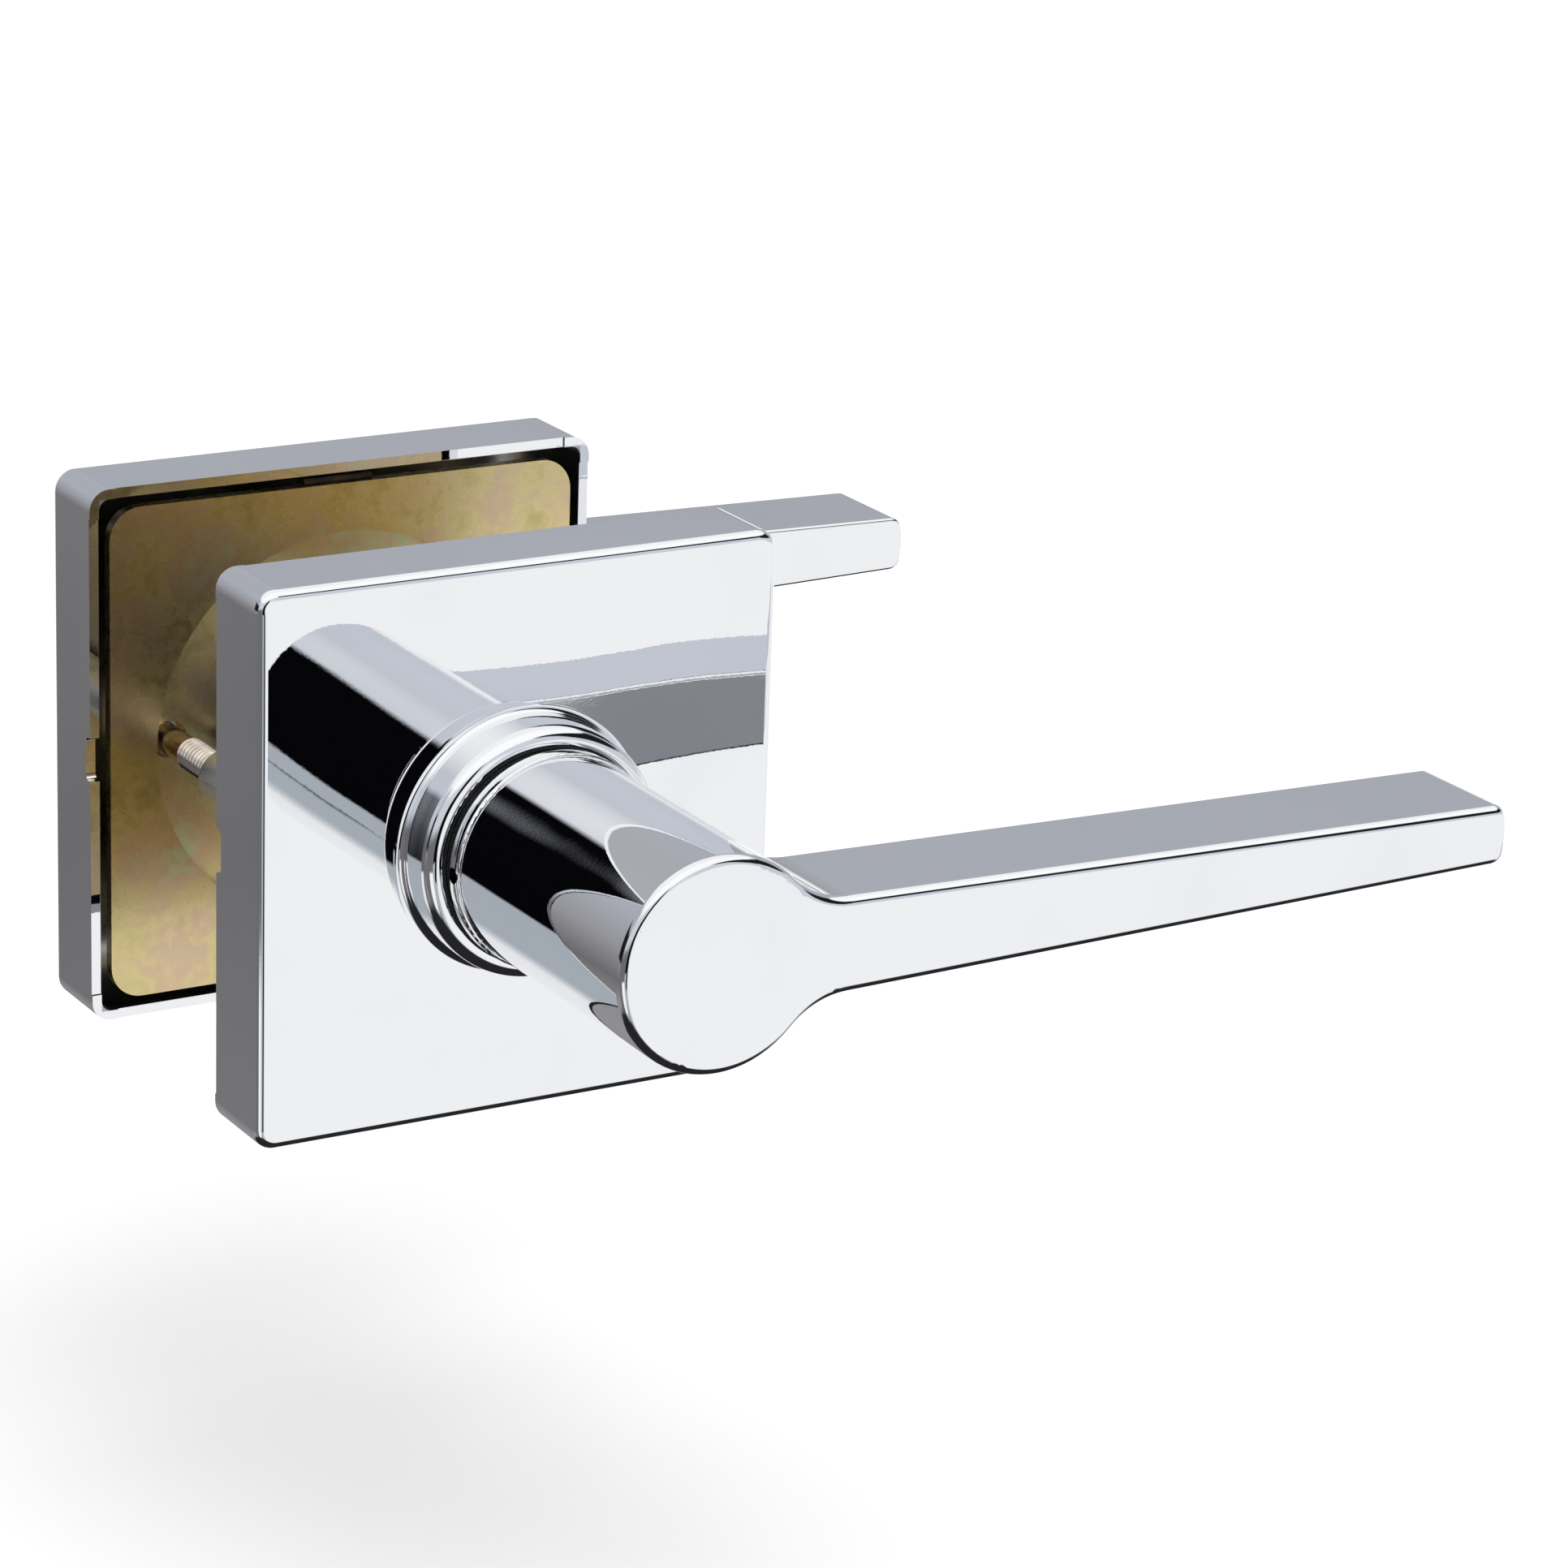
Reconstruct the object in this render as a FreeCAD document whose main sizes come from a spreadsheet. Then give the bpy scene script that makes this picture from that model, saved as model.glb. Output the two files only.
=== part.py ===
"""Passage door lever set, as fitted back to back on a door.

Each half (a trim) is drawn in its own frame: +Z runs out of the door along the spindle, +X
along the lever, and Z = 0 is the face of the door. The outside trim is then turned to face
-Y and the inside trim to face +Y, so that both levers point to +X and the origin is on the
spindle axis at the outside face of the door. Lengths are in millimetres.
"""

import FreeCAD, Part
import math
import os

import Sketcher

OUTPUT = "parts"
SIDES = ("outside", "inside")

# Slack in the tests that pick edges, and the size at which sketches are first drawn.
NEAR = 1e-3
LOOSE = 1e-2
MARGIN = 1.0
FIRST_SIZE = 20.0
FIRST_RADIUS = 3.0

DIMENSIONS = (
    ("door_thickness", 35.0, "door slab between the two trims"),
    ("rose_width", 66.0, "square rose, side to side"),
    ("rose_depth", 11.2, "rose, door face to front face"),
    ("rose_wall", 1.2, "sheet of the rose"),
    ("rose_edge_radius", 1.2, "rounding round the front face"),
    ("rose_corner_radius", 2.5, "rounding of the four upright corners"),
    ("rose_foot", 3.4, "length of the corner feet on the rear rim"),
    ("rose_relief", 0.25, "rear rim held clear of the door between the feet"),
    ("pry_width", 5.4, "slot in the rim for taking the rose off"),
    ("pry_depth", 1.5, "pry slot, from the rear rim"),
    ("screw_spacing", 42.2, "between the two through screws"),
    ("screw_lip_radius", 4.0, "drawn lip of a screw hole in the rose, inside"),
    ("screw_lip_wall", 1.0, "wall of the drawn lip"),
    ("screw_lip_depth", 1.6, "drawn lip, behind the sheet"),
    ("screw_lip_round", 0.8, "mouth of a screw hole"),
    ("collar_base_radius", 16.1, "collar where it sits on the rose"),
    ("collar_wall_radius", 15.2, "collar wall at its foot"),
    ("collar_front_radius", 14.9, "collar wall at its front"),
    ("collar_height", 6.2, "collar, in front of the rose"),
    ("collar_base_edge", 0.2, "thin edge of the collar's foot"),
    ("collar_cove", 0.8, "hollow between foot and wall"),
    ("collar_round", 1.65, "front edge of the collar"),
    ("collar_lip_radius", 13.05, "mouth of the collar"),
    ("collar_lip_depth", 0.8, "thickness of the mouth"),
    ("collar_spigot_radius", 14.35, "part of the collar inside the rose's hole"),
    ("collar_swage_radius", 15.2, "rim rolled over behind the rose"),
    ("collar_swage_depth", 1.0, "rolled rim"),
    ("bush_radius", 13.85, "outside of the neck bush"),
    ("bush_bore_radius", 12.25, "inside of the neck bush"),
    ("bush_chamfer", 0.3, "outer edges of the neck bush"),
    ("neck_radius", 12.5, "lever neck and round end of the lever"),
    ("neck_shank_radius", 12.2, "neck where it turns in the bush"),
    ("neck_start", 9.2, "inner end of the neck, from the door"),
    ("bead_start", 18.4, "bead at the foot of the neck, from the door"),
    ("bead_length", 2.0, "bead, along the neck"),
    ("bead_radius", 12.85, "bead"),
    ("bead_round", 0.6, "edges of the bead"),
    ("projection", 58.0, "front of the lever, from the door"),
    ("arm_depth", 15.3, "arm, front to back"),
    ("arm_reach", 105.4, "tip of the arm, from the spindle axis"),
    ("arm_root_half", 5.9, "half height of the arm, on the axis"),
    ("arm_tip_half", 3.6, "half height of the arm, at the tip"),
    ("arm_fillet", 10.0, "hollow between the round end and the arm"),
    ("tip_bow", 0.6, "bow of the end face of the arm"),
    ("tip_round", 1.6, "corners of the end of the arm"),
    ("front_round", 1.15, "edge round the front face of the lever"),
    ("back_round", 0.45, "edge round the back of the arm"),
    ("sleeve_radius", 8.0, "drive sleeve"),
    ("sleeve_flat", 7.2, "flats of the drive sleeve, from the axis"),
    ("sleeve_bore_radius", 6.0, "hollow of the drive sleeve"),
    ("sleeve_inner_end", 9.3, "drive sleeve, behind the door face"),
    ("sleeve_outer_end", 33.0, "drive sleeve, in front of the door face"),
    ("sleeve_end_gap", 1.0, "between the end of the sleeve and the end of its bore"),
    ("sleeve_web", 12.0, "end of the square hole, from the door face"),
    ("sleeve_fit", 0.05, "play between the sleeve and what it turns in"),
    ("flat_start", 8.8, "where the flats begin, from the door face"),
    ("spindle_width", 8.0, "square spindle"),
    ("spindle_play", 0.2, "square hole over the spindle"),
    ("spindle_end", 11.0, "end of the spindle, in front of each door face"),
    ("spindle_chamfer", 0.8, "ends of the spindle"),
    ("catch_height", 19.4, "lever catch, from the door face"),
    ("catch_nose", 3.0, "nose of the catch, square"),
    ("catch_tip", 9.75, "tip of the catch, from the axis"),
    ("catch_base", 5.2, "base of the catch, square"),
    ("catch_base_outer", 5.3, "outer face of the base, from the axis"),
    ("catch_base_inner", 3.4, "inner face of the base, from the axis"),
    ("catch_play", 0.15, "play all round the catch"),
    ("catch_pocket", 4.0, "pocket for the catch in the neck, inwards"),
    ("access_radius", 0.95, "hole for the release pin"),
    ("catch_spring_radius", 4.35, "bow of the catch spring"),
    ("catch_spring_wire", 0.4, "thickness of the catch spring"),
    ("catch_spring_width", 3.6, "width of the catch spring"),
    ("catch_spring_gap", 2.0, "opening of its bow"),
    ("catch_spring_foot", 0.5, "free end of its bow, past the middle"),
    ("plate_width", 61.0, "square mounting plate"),
    ("plate_corner", 4.0, "corners of the plate"),
    ("plate_wall", 1.5, "sheet of the plate"),
    ("plateau_radius", 26.0, "raised centre of the plate"),
    ("plateau_height", 5.6, "raised centre, from the door face"),
    ("plateau_round", 1.2, "edge of the raised centre"),
    ("hub_radius", 11.0, "hole for the bearing in the plate"),
    ("bearing_flange_radius", 12.0, "flange of the bearing"),
    ("bearing_flange", 0.9, "thickness of that flange"),
    ("bearing_length", 3.2, "bearing, under the flange"),
    ("washer_radius", 11.4, "thrust washer"),
    ("washer_thickness", 0.7, "thrust washer"),
    ("ring_radius", 10.2, "retaining ring"),
    ("ring_groove_radius", 7.3, "bottom of the ring groove"),
    ("ring_thickness", 1.0, "retaining ring"),
    ("ring_start", 7.35, "retaining ring, from the door face"),
    ("ring_gap", 4.4, "opening of the retaining ring"),
    ("ring_gap_end", 4.0, "inner end of the opening, from the axis"),
    ("cage_radius", 17.2, "spring cage"),
    ("cage_wall", 1.0, "sheet of the spring cage"),
    ("cage_floor", 0.8, "floor of the spring cage"),
    ("cage_depth", 10.4, "spring cage, behind the door face"),
    ("cage_hole_radius", 8.6, "hole in the floor of the cage"),
    ("cage_tab_width", 4.0, "fixed tab of the cage"),
    ("cage_tab_depth", 1.1, "fixed tab, inwards from the wall"),
    ("driver_radius", 10.4, "disc of the spring driver"),
    ("driver_thickness", 1.4, "sheet of the spring driver"),
    ("driver_start", 9.2, "spring driver, behind the door face"),
    ("finger_outer", 14.9, "outer face of the driver's finger"),
    ("finger_thickness", 1.6, "finger, radially"),
    ("finger_width", 4.0, "finger"),
    ("finger_top", 3.0, "end of the finger, in front of the door face"),
    ("spring_radius", 11.6, "return spring, mean radius of the coil"),
    ("spring_wire_radius", 0.75, "wire of the return spring"),
    ("spring_turns", 6.0, "whole turns of the return spring"),
    ("spring_pitch", 1.6, "from turn to turn"),
    ("spring_start", 6.6, "first turn, behind the door face"),
    ("spring_leg_angle", 12.0, "each leg, to one side of the finger"),
    ("spring_leg_end", 16.0, "ends of the legs, from the axis"),
    ("screw_radius", 2.0, "through screw"),
    ("screw_head_radius", 3.4, "head of the through screw"),
    ("screw_head_rim", 0.9, "straight rim of the head"),
    ("screw_head_dome", 1.6, "dome over the rim"),
    ("dome_side", 0.82, "outer break of the dome, as a share of the head's radius"),
    ("dome_side_rise", 0.62, "height of that break, as a share of the dome"),
    ("dome_crown", 0.45, "inner break of the dome, as a share of the head's radius"),
    ("dome_crown_rise", 0.93, "height of that break, as a share of the dome"),
    ("dome_round", 0.5, "rounding of both breaks"),
    ("screw_chamfer", 0.5, "end of the screw"),
    ("screw_tip", 6.0, "end of the screw, from the outside face of the door"),
    ("recess_length", 3.7, "cross recess, tip to tip"),
    ("recess_width", 0.95, "arms of the cross recess"),
    ("recess_depth", 1.5, "cross recess"),
    ("post_radius", 3.3, "threaded post"),
    ("post_bore_radius", 2.05, "bore of the post"),
    ("post_spigot_radius", 2.9, "end of the post staked in the plate"),
    ("post_length", 24.0, "end of the post, behind the outside door face"),
    ("post_chamfer", 0.5, "free end of the post"),
    ("post_stake", 0.4, "post staked over the plate"),
    ("clip_width", 9.0, "spring clip of the rose"),
    ("clip_sheet", 0.6, "thickness of the clip"),
    ("clip_foot", 26.4, "inner end of the clip's foot, from the axis"),
    ("clip_leg", 30.9, "outer face of the clip's leg, from the axis"),
    ("clip_bump", 31.7, "crest of the clip, from the axis"),
    ("clip_height", 8.2, "top of the clip, from the door face"),
    ("clip_waist", 0.5, "where the crest begins, as a share of the height"),
    ("clip_crest", 0.72, "height of the crest, as a share of the height"),
)


def driving_dimensions(doc):
    """Write the driving dimensions to a sheet called Dims."""
    sheet = doc.addObject("Spreadsheet::Sheet", "Dims")
    for row, (alias, value, note) in enumerate(DIMENSIONS, start=1):
        sheet.set(f"A{row}", alias)
        sheet.set(f"B{row}", str(value))
        sheet.set(f"C{row}", note)
        sheet.setAlias(f"B{row}", alias)
    doc.recompute()
    return sheet


def trim_placement(sheet, side):
    """Placement that takes a trim's own frame to the door's frame."""
    if side == "outside":
        return FreeCAD.Placement(FreeCAD.Vector(0, 0, 0), FreeCAD.Rotation(FreeCAD.Vector(1, 0, 0), 90))
    far_face = FreeCAD.Vector(0, sheet.get("door_thickness"), 0)
    return FreeCAD.Placement(far_face, FreeCAD.Rotation(FreeCAD.Vector(1, 0, 0), -90))


def edge_names(shape, wanted):
    """Names of the edges of a shape that pass a test."""
    return [f"Edge{i}" for i, edge in enumerate(shape.Edges, start=1) if wanted(edge)]


def upright(edge):
    """True for a straight edge along Z."""
    box = edge.BoundBox
    return box.XLength < NEAR and box.YLength < NEAR and box.ZLength > LOOSE


def at_height(height):
    """Test for edges that lie wholly in the plane Z = height."""
    return lambda edge: abs(edge.BoundBox.ZMin - height) < NEAR and abs(edge.BoundBox.ZMax - height) < NEAR


class Piece:
    """A PartDesign body whose sketches and features are bound to the sheet."""

    def __init__(self, doc, label):
        """Start an empty body.

        Args:
            doc: the document.
            label: name of the sub-part.
        """
        self.doc = doc
        self.label = label
        self.body = doc.addObject("PartDesign::Body", label)
        self.body.Label = label
        self.count = 0

    def name(self, kind):
        """A fresh object name for a feature of this piece."""
        self.count += 1
        return f"{self.label}_{kind}{self.count}"

    def sketch(self, plane, offset=None):
        """Add an empty sketch on one of the body's own planes, moved along its normal."""
        sketch = self.body.newObject("Sketcher::SketchObject", self.name("sketch"))
        origin_plane = next(f for f in self.body.Origin.OriginFeatures if f.Role == plane)
        sketch.AttachmentSupport = [(origin_plane, "")]
        sketch.MapMode = "FlatFace"
        if offset:
            sketch.setExpression("AttachmentOffset.Base.z", offset)
        return sketch

    def polygon(self, sketch, corners):
        """Close a polygon in a sketch, through corners given as pairs of expressions."""
        first = sketch.GeometryCount
        total = len(corners)
        angles = [2 * math.pi * i / total for i in range(total)]
        ring = [FreeCAD.Vector(math.cos(angle), math.sin(angle), 0) * FIRST_SIZE for angle in angles]
        for i in range(total):
            sketch.addGeometry(Part.LineSegment(ring[i], ring[(i + 1) % total]), False)
        for i in range(total):
            ends = (first + i, 2, first + (i + 1) % total, 1)
            sketch.addConstraint(Sketcher.Constraint("Coincident", *ends))
        for i, corner in enumerate(corners):
            self.pin(sketch, first + i, 1, corner, ring[i])

    def pin(self, sketch, geometry, point, place, guess):
        """Hold a point of a sketch at a pair of expressions, where "0" is on an axis."""
        for kind, axis, text, value in (
            ("DistanceX", -2, place[0], guess.x),
            ("DistanceY", -1, place[1], guess.y),
        ):
            if text == "0":
                sketch.addConstraint(Sketcher.Constraint("PointOnObject", geometry, point, axis))
            else:
                rule = Sketcher.Constraint(kind, -1, 1, geometry, point, value or MARGIN)
                index = sketch.addConstraint(rule)
                sketch.setExpression(f"Constraints[{index}]", text)

    def rectangle(self, sketch, low_x, high_x, low_y, high_y):
        """Add a rectangle with its sides at four expressions."""
        self.polygon(sketch, [(low_x, low_y), (high_x, low_y), (high_x, high_y), (low_x, high_y)])

    def square(self, sketch, half):
        """Add a square about the origin."""
        self.rectangle(sketch, f"-({half})", half, f"-({half})", half)

    def circle(self, sketch, radius, across="0", along="0"):
        """Add a circle of a radius about a centre."""
        guess = FreeCAD.Vector(FIRST_SIZE, FIRST_SIZE, 0)
        index = sketch.addGeometry(Part.Circle(guess, FreeCAD.Vector(0, 0, 1), FIRST_RADIUS), False)
        self.pin(sketch, index, 3, (across, along), guess)
        rule = sketch.addConstraint(Sketcher.Constraint("Radius", index, FIRST_RADIUS))
        sketch.setExpression(f"Constraints[{rule}]", radius)

    def feature(self, kind, sketch):
        """Add a sketch-based feature."""
        made = self.body.newObject(f"PartDesign::{kind}", self.name(kind.lower()))
        made.Profile = sketch
        return made

    def pad(self, sketch, length):
        """Pad a sketch along its normal."""
        pad = self.feature("Pad", sketch)
        pad.setExpression("Length", length)
        self.doc.recompute()
        return pad

    def pocket(self, sketch, length, forward=False):
        """Cut a sketch against its normal, or along it, and make sure that it cuts."""
        before = self.body.Shape.Volume
        pocket = self.feature("Pocket", sketch)
        pocket.Reversed = forward
        pocket.setExpression("Length", length)
        self.doc.recompute()
        if self.body.Shape.Volume > before - NEAR:
            raise RuntimeError(f"{pocket.Name} cuts nothing")
        return pocket

    def revolve(self, sketch, kind="Revolution"):
        """Turn a sketch round its upright axis."""
        made = self.feature(kind, sketch)
        made.ReferenceAxis = (sketch, ["V_Axis"])
        made.Angle = 360.0
        self.doc.recompute()
        return made

    def round_off(self, wanted, radius, kind="Fillet"):
        """Fillet, or chamfer, the edges of the latest feature that pass a test."""
        base = self.body.Tip
        names = edge_names(base.Shape, wanted)
        if not names:
            raise RuntimeError(f"{self.label}: no edge to round")
        made = self.body.newObject(f"PartDesign::{kind}", self.name(kind.lower()))
        made.Base = (base, names)
        made.setExpression("Radius" if kind == "Fillet" else "Size", radius)
        self.doc.recompute()
        return made


def rose_cover(doc, sheet, side):
    """Pressed square shell: rounded front, open back, corner feet and a pry slot."""
    piece = Piece(doc, f"{side}_rose_cover")
    outline = piece.sketch("XY_Plane")
    piece.square(outline, "Dims.rose_width / 2")
    piece.pad(outline, "Dims.rose_depth")
    piece.round_off(upright, "Dims.rose_corner_radius")
    piece.round_off(at_height(sheet.get("rose_depth")), "Dims.rose_edge_radius")

    cavity = piece.sketch("XY_Plane")
    piece.square(cavity, "Dims.rose_width / 2 - Dims.rose_wall")
    piece.pocket(cavity, "Dims.rose_depth - Dims.rose_wall", forward=True)
    inner = sheet.get("rose_width") / 2 - sheet.get("rose_wall")
    piece.round_off(
        lambda edge: upright(edge) and abs(abs(edge.BoundBox.XMin) - inner) < NEAR
        and abs(abs(edge.BoundBox.YMin) - inner) < NEAR,
        "Dims.rose_corner_radius - Dims.rose_wall",
    )

    collar_hole = piece.sketch("XY_Plane", "Dims.rose_depth")
    piece.circle(collar_hole, "Dims.collar_spigot_radius + Dims.sleeve_fit")
    piece.pocket(collar_hole, "2 * Dims.rose_wall")

    rim = piece.sketch("XY_Plane")
    span = "Dims.rose_width / 2 - Dims.rose_foot"
    near, far = "Dims.rose_width / 2 - 2 * Dims.rose_wall", "Dims.rose_width / 2 + Dims.rose_wall"
    piece.rectangle(rim, f"-({span})", span, near, far)
    piece.rectangle(rim, f"-({span})", span, f"-({far})", f"-({near})")
    piece.rectangle(rim, near, far, f"-({span})", span)
    piece.rectangle(rim, f"-({far})", f"-({near})", f"-({span})", span)
    piece.pocket(rim, "Dims.rose_relief", forward=True)

    slot = piece.sketch("XY_Plane")
    piece.rectangle(slot, f"-({far})", f"-({near})", "-Dims.pry_width / 2", "Dims.pry_width / 2")
    piece.pocket(slot, "Dims.pry_depth", forward=True)
    slot_top, slot_side = sheet.get("pry_depth"), sheet.get("pry_width") / 2
    piece.round_off(
        lambda edge: at_height(slot_top)(edge) and abs(abs(edge.BoundBox.YMin) - slot_side) < NEAR
        and edge.BoundBox.YLength < NEAR and edge.BoundBox.XMax < 0,
        "Dims.pry_depth / 2",
    )
    if side == "inside":
        screw_mouths(piece, sheet)
    return piece.body


def screw_mouths(piece, sheet):
    """Two holes in a rose, each with a rounded mouth and a lip drawn inwards."""
    places = ("Dims.screw_spacing / 2", "-Dims.screw_spacing / 2")
    lips = piece.sketch("XY_Plane", "Dims.rose_depth - Dims.rose_wall - Dims.screw_lip_depth")
    for place in places:
        piece.circle(lips, "Dims.screw_lip_radius + Dims.screw_lip_wall", place)
    piece.pad(lips, "Dims.screw_lip_depth + Dims.rose_wall / 2")
    holes = piece.sketch("XY_Plane", "Dims.rose_depth")
    for place in places:
        piece.circle(holes, "Dims.screw_lip_radius", place)
    piece.pocket(holes, "Dims.screw_lip_depth + 2 * Dims.rose_wall")
    front, radius = sheet.get("rose_depth"), sheet.get("screw_lip_radius")
    piece.round_off(
        lambda edge: at_height(front)(edge) and abs(edge.BoundBox.YLength - 2 * radius) < LOOSE,
        "Dims.screw_lip_round",
    )


def rose_collar(doc, sheet, side):
    """Turned ring that stands on the rose, with its rim rolled over behind the sheet."""
    piece = Piece(doc, f"{side}_rose_collar")
    profile = piece.sketch("XZ_Plane")
    front = "Dims.rose_depth + Dims.collar_height"
    inner_face = "Dims.rose_depth - Dims.rose_wall"
    foot = "Dims.rose_depth + Dims.collar_base_edge"
    piece.polygon(profile, [
        ("Dims.bush_radius + Dims.sleeve_fit", f"{inner_face} - Dims.collar_swage_depth"),
        ("Dims.collar_swage_radius", f"{inner_face} - Dims.collar_swage_depth"),
        ("Dims.collar_swage_radius", inner_face),
        ("Dims.collar_spigot_radius", inner_face),
        ("Dims.collar_spigot_radius", "Dims.rose_depth"),
        ("Dims.collar_base_radius", "Dims.rose_depth"),
        ("Dims.collar_base_radius", foot),
        ("Dims.collar_wall_radius", foot),
        ("Dims.collar_front_radius", front),
        ("Dims.collar_lip_radius", front),
        ("Dims.collar_lip_radius", f"{front} - Dims.collar_lip_depth"),
        ("Dims.bush_radius + Dims.sleeve_fit", f"{front} - Dims.collar_lip_depth"),
    ])
    piece.revolve(profile)
    foot_height = sheet.get("rose_depth") + sheet.get("collar_base_edge")
    front_height = sheet.get("rose_depth") + sheet.get("collar_height")
    wall, mouth = sheet.get("collar_wall_radius"), sheet.get("collar_front_radius")
    piece.round_off(ring_at(foot_height, wall), "Dims.collar_cove")
    piece.round_off(ring_at(front_height, mouth), "Dims.collar_round")
    return piece.body


def ring_at(height, radius):
    """Test for a round edge about Z of a radius at a height."""
    return lambda edge: at_height(height)(edge) and abs(edge.BoundBox.XLength - 2 * radius) < LOOSE


def turned_ring(doc, label, inner, outer, start, length):
    """Plain ring about the spindle axis."""
    piece = Piece(doc, label)
    section = piece.sketch("XY_Plane", start)
    piece.circle(section, outer)
    piece.circle(section, inner)
    piece.pad(section, length)
    return piece


def neck_bush(doc, sheet, side):
    """Plastic bush in the collar that the neck of the lever turns in."""
    start = "Dims.rose_depth - Dims.rose_wall - Dims.collar_swage_depth / 2"
    end = "Dims.rose_depth + Dims.collar_height - Dims.collar_lip_depth"
    piece = turned_ring(
        doc, f"{side}_neck_bush", "Dims.bush_bore_radius", "Dims.bush_radius", start,
        f"({end}) - ({start}) - Dims.sleeve_fit",
    )
    outer = 2 * sheet.get("bush_radius")
    piece.round_off(lambda edge: abs(edge.BoundBox.XLength - outer) < LOOSE, "Dims.bush_chamfer", "Chamfer")
    return piece.body


def lever(doc, sheet, side):
    """Cast lever: hollow neck with a bead, round front end and a bar that thins to its tip."""
    piece = Piece(doc, f"{side}_lever")
    lever_head(piece, sheet)
    profile = piece.sketch("XZ_Plane")
    bead_end = "Dims.bead_start + Dims.bead_length"
    neck_end = "Dims.projection - Dims.arm_depth + 2 * Dims.back_round"
    piece.polygon(profile, [
        ("0", "Dims.neck_start"),
        ("Dims.neck_shank_radius", "Dims.neck_start"),
        ("Dims.neck_shank_radius", "Dims.bead_start"),
        ("Dims.bead_radius", "Dims.bead_start"),
        ("Dims.bead_radius", bead_end),
        ("Dims.neck_radius", bead_end),
        ("Dims.neck_radius", neck_end),
        ("0", neck_end),
    ])
    piece.revolve(profile)
    bead_radius = sheet.get("bead_radius")
    piece.round_off(lambda edge: abs(edge.BoundBox.XLength - 2 * bead_radius) < NEAR, "Dims.bead_round / 2")
    lever_bore(piece)
    return piece.body


def lever_head(piece, sheet):
    """Round front end of a lever with its bar, rounded at the tip, the roots and both faces."""
    reach, half, bow = (sheet.get(n) for n in ("arm_reach", "arm_tip_half", "tip_bow"))
    root, back = sheet.get("arm_root_half"), "Dims.projection - Dims.arm_depth"
    disc = piece.sketch("XY_Plane", back)
    piece.circle(disc, "Dims.neck_radius")
    piece.pad(disc, "Dims.arm_depth")

    bar = piece.sketch("XY_Plane", back)
    corners = [
        FreeCAD.Vector(0, -root, 0),
        FreeCAD.Vector(reach - bow, -half, 0),
        FreeCAD.Vector(reach - bow, half, 0),
        FreeCAD.Vector(0, root, 0),
    ]
    bar.addGeometry(Part.LineSegment(corners[0], corners[1]), False)
    bar.addGeometry(Part.Arc(corners[1], FreeCAD.Vector(reach, 0, 0), corners[2]), False)
    bar.addGeometry(Part.LineSegment(corners[2], corners[3]), False)
    bar.addGeometry(Part.LineSegment(corners[3], corners[0]), False)
    for ends in ((0, 2, 1, 1), (1, 2, 2, 1), (2, 2, 3, 1), (3, 2, 0, 1)):
        bar.addConstraint(Sketcher.Constraint("Coincident", *ends))
    bow_start = "Dims.arm_reach - Dims.tip_bow"
    piece.pin(bar, 0, 1, ("0", "-Dims.arm_root_half"), corners[0])
    piece.pin(bar, 0, 2, (bow_start, "-Dims.arm_tip_half"), corners[1])
    piece.pin(bar, 2, 1, (bow_start, "Dims.arm_tip_half"), corners[2])
    piece.pin(bar, 2, 2, ("0", "Dims.arm_root_half"), corners[3])
    bowed = bar.addConstraint(Sketcher.Constraint("Radius", 1, half**2 / 2 / bow + bow / 2))
    bow_radius = "Dims.arm_tip_half ^ 2 / 2 / Dims.tip_bow + Dims.tip_bow / 2"
    bar.setExpression(f"Constraints[{bowed}]", bow_radius)
    piece.pad(bar, "Dims.arm_depth")

    tip, neck = reach - bow, sheet.get("neck_radius")
    piece.round_off(lambda edge: upright(edge) and edge.BoundBox.XMin > tip - MARGIN, "Dims.tip_round")
    piece.round_off(
        lambda edge: upright(edge) and 0 < edge.BoundBox.XMin < neck and abs(edge.BoundBox.YMin) > MARGIN,
        "Dims.arm_fillet",
    )
    front = sheet.get("projection")
    piece.round_off(at_height(front), "Dims.front_round")
    piece.round_off(at_height(front - sheet.get("arm_depth")), "Dims.back_round")


def lever_bore(piece):
    """Bore with two flats for the drive sleeve, pocket for the catch and hole for the pin."""
    bore = piece.sketch("XY_Plane", "Dims.neck_start")
    flatted_circle(piece, bore, "Dims.sleeve_radius + Dims.sleeve_fit", "Dims.sleeve_flat + Dims.sleeve_fit")
    piece.pocket(bore, "Dims.sleeve_outer_end + Dims.sleeve_end_gap - Dims.neck_start", forward=True)

    half = "(Dims.catch_nose / 2 + Dims.catch_play)"
    nose = piece.sketch("YZ_Plane", "-(Dims.catch_tip + Dims.catch_play)")
    piece.rectangle(nose, f"-{half}", half, f"Dims.catch_height - {half}", f"Dims.catch_height + {half}")
    piece.pocket(nose, "Dims.catch_pocket", forward=True)

    pin_hole = piece.sketch("YZ_Plane", "-Dims.catch_tip")
    piece.circle(pin_hole, "Dims.access_radius", "0", "Dims.catch_height")
    piece.pocket(pin_hole, "Dims.neck_radius")


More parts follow.
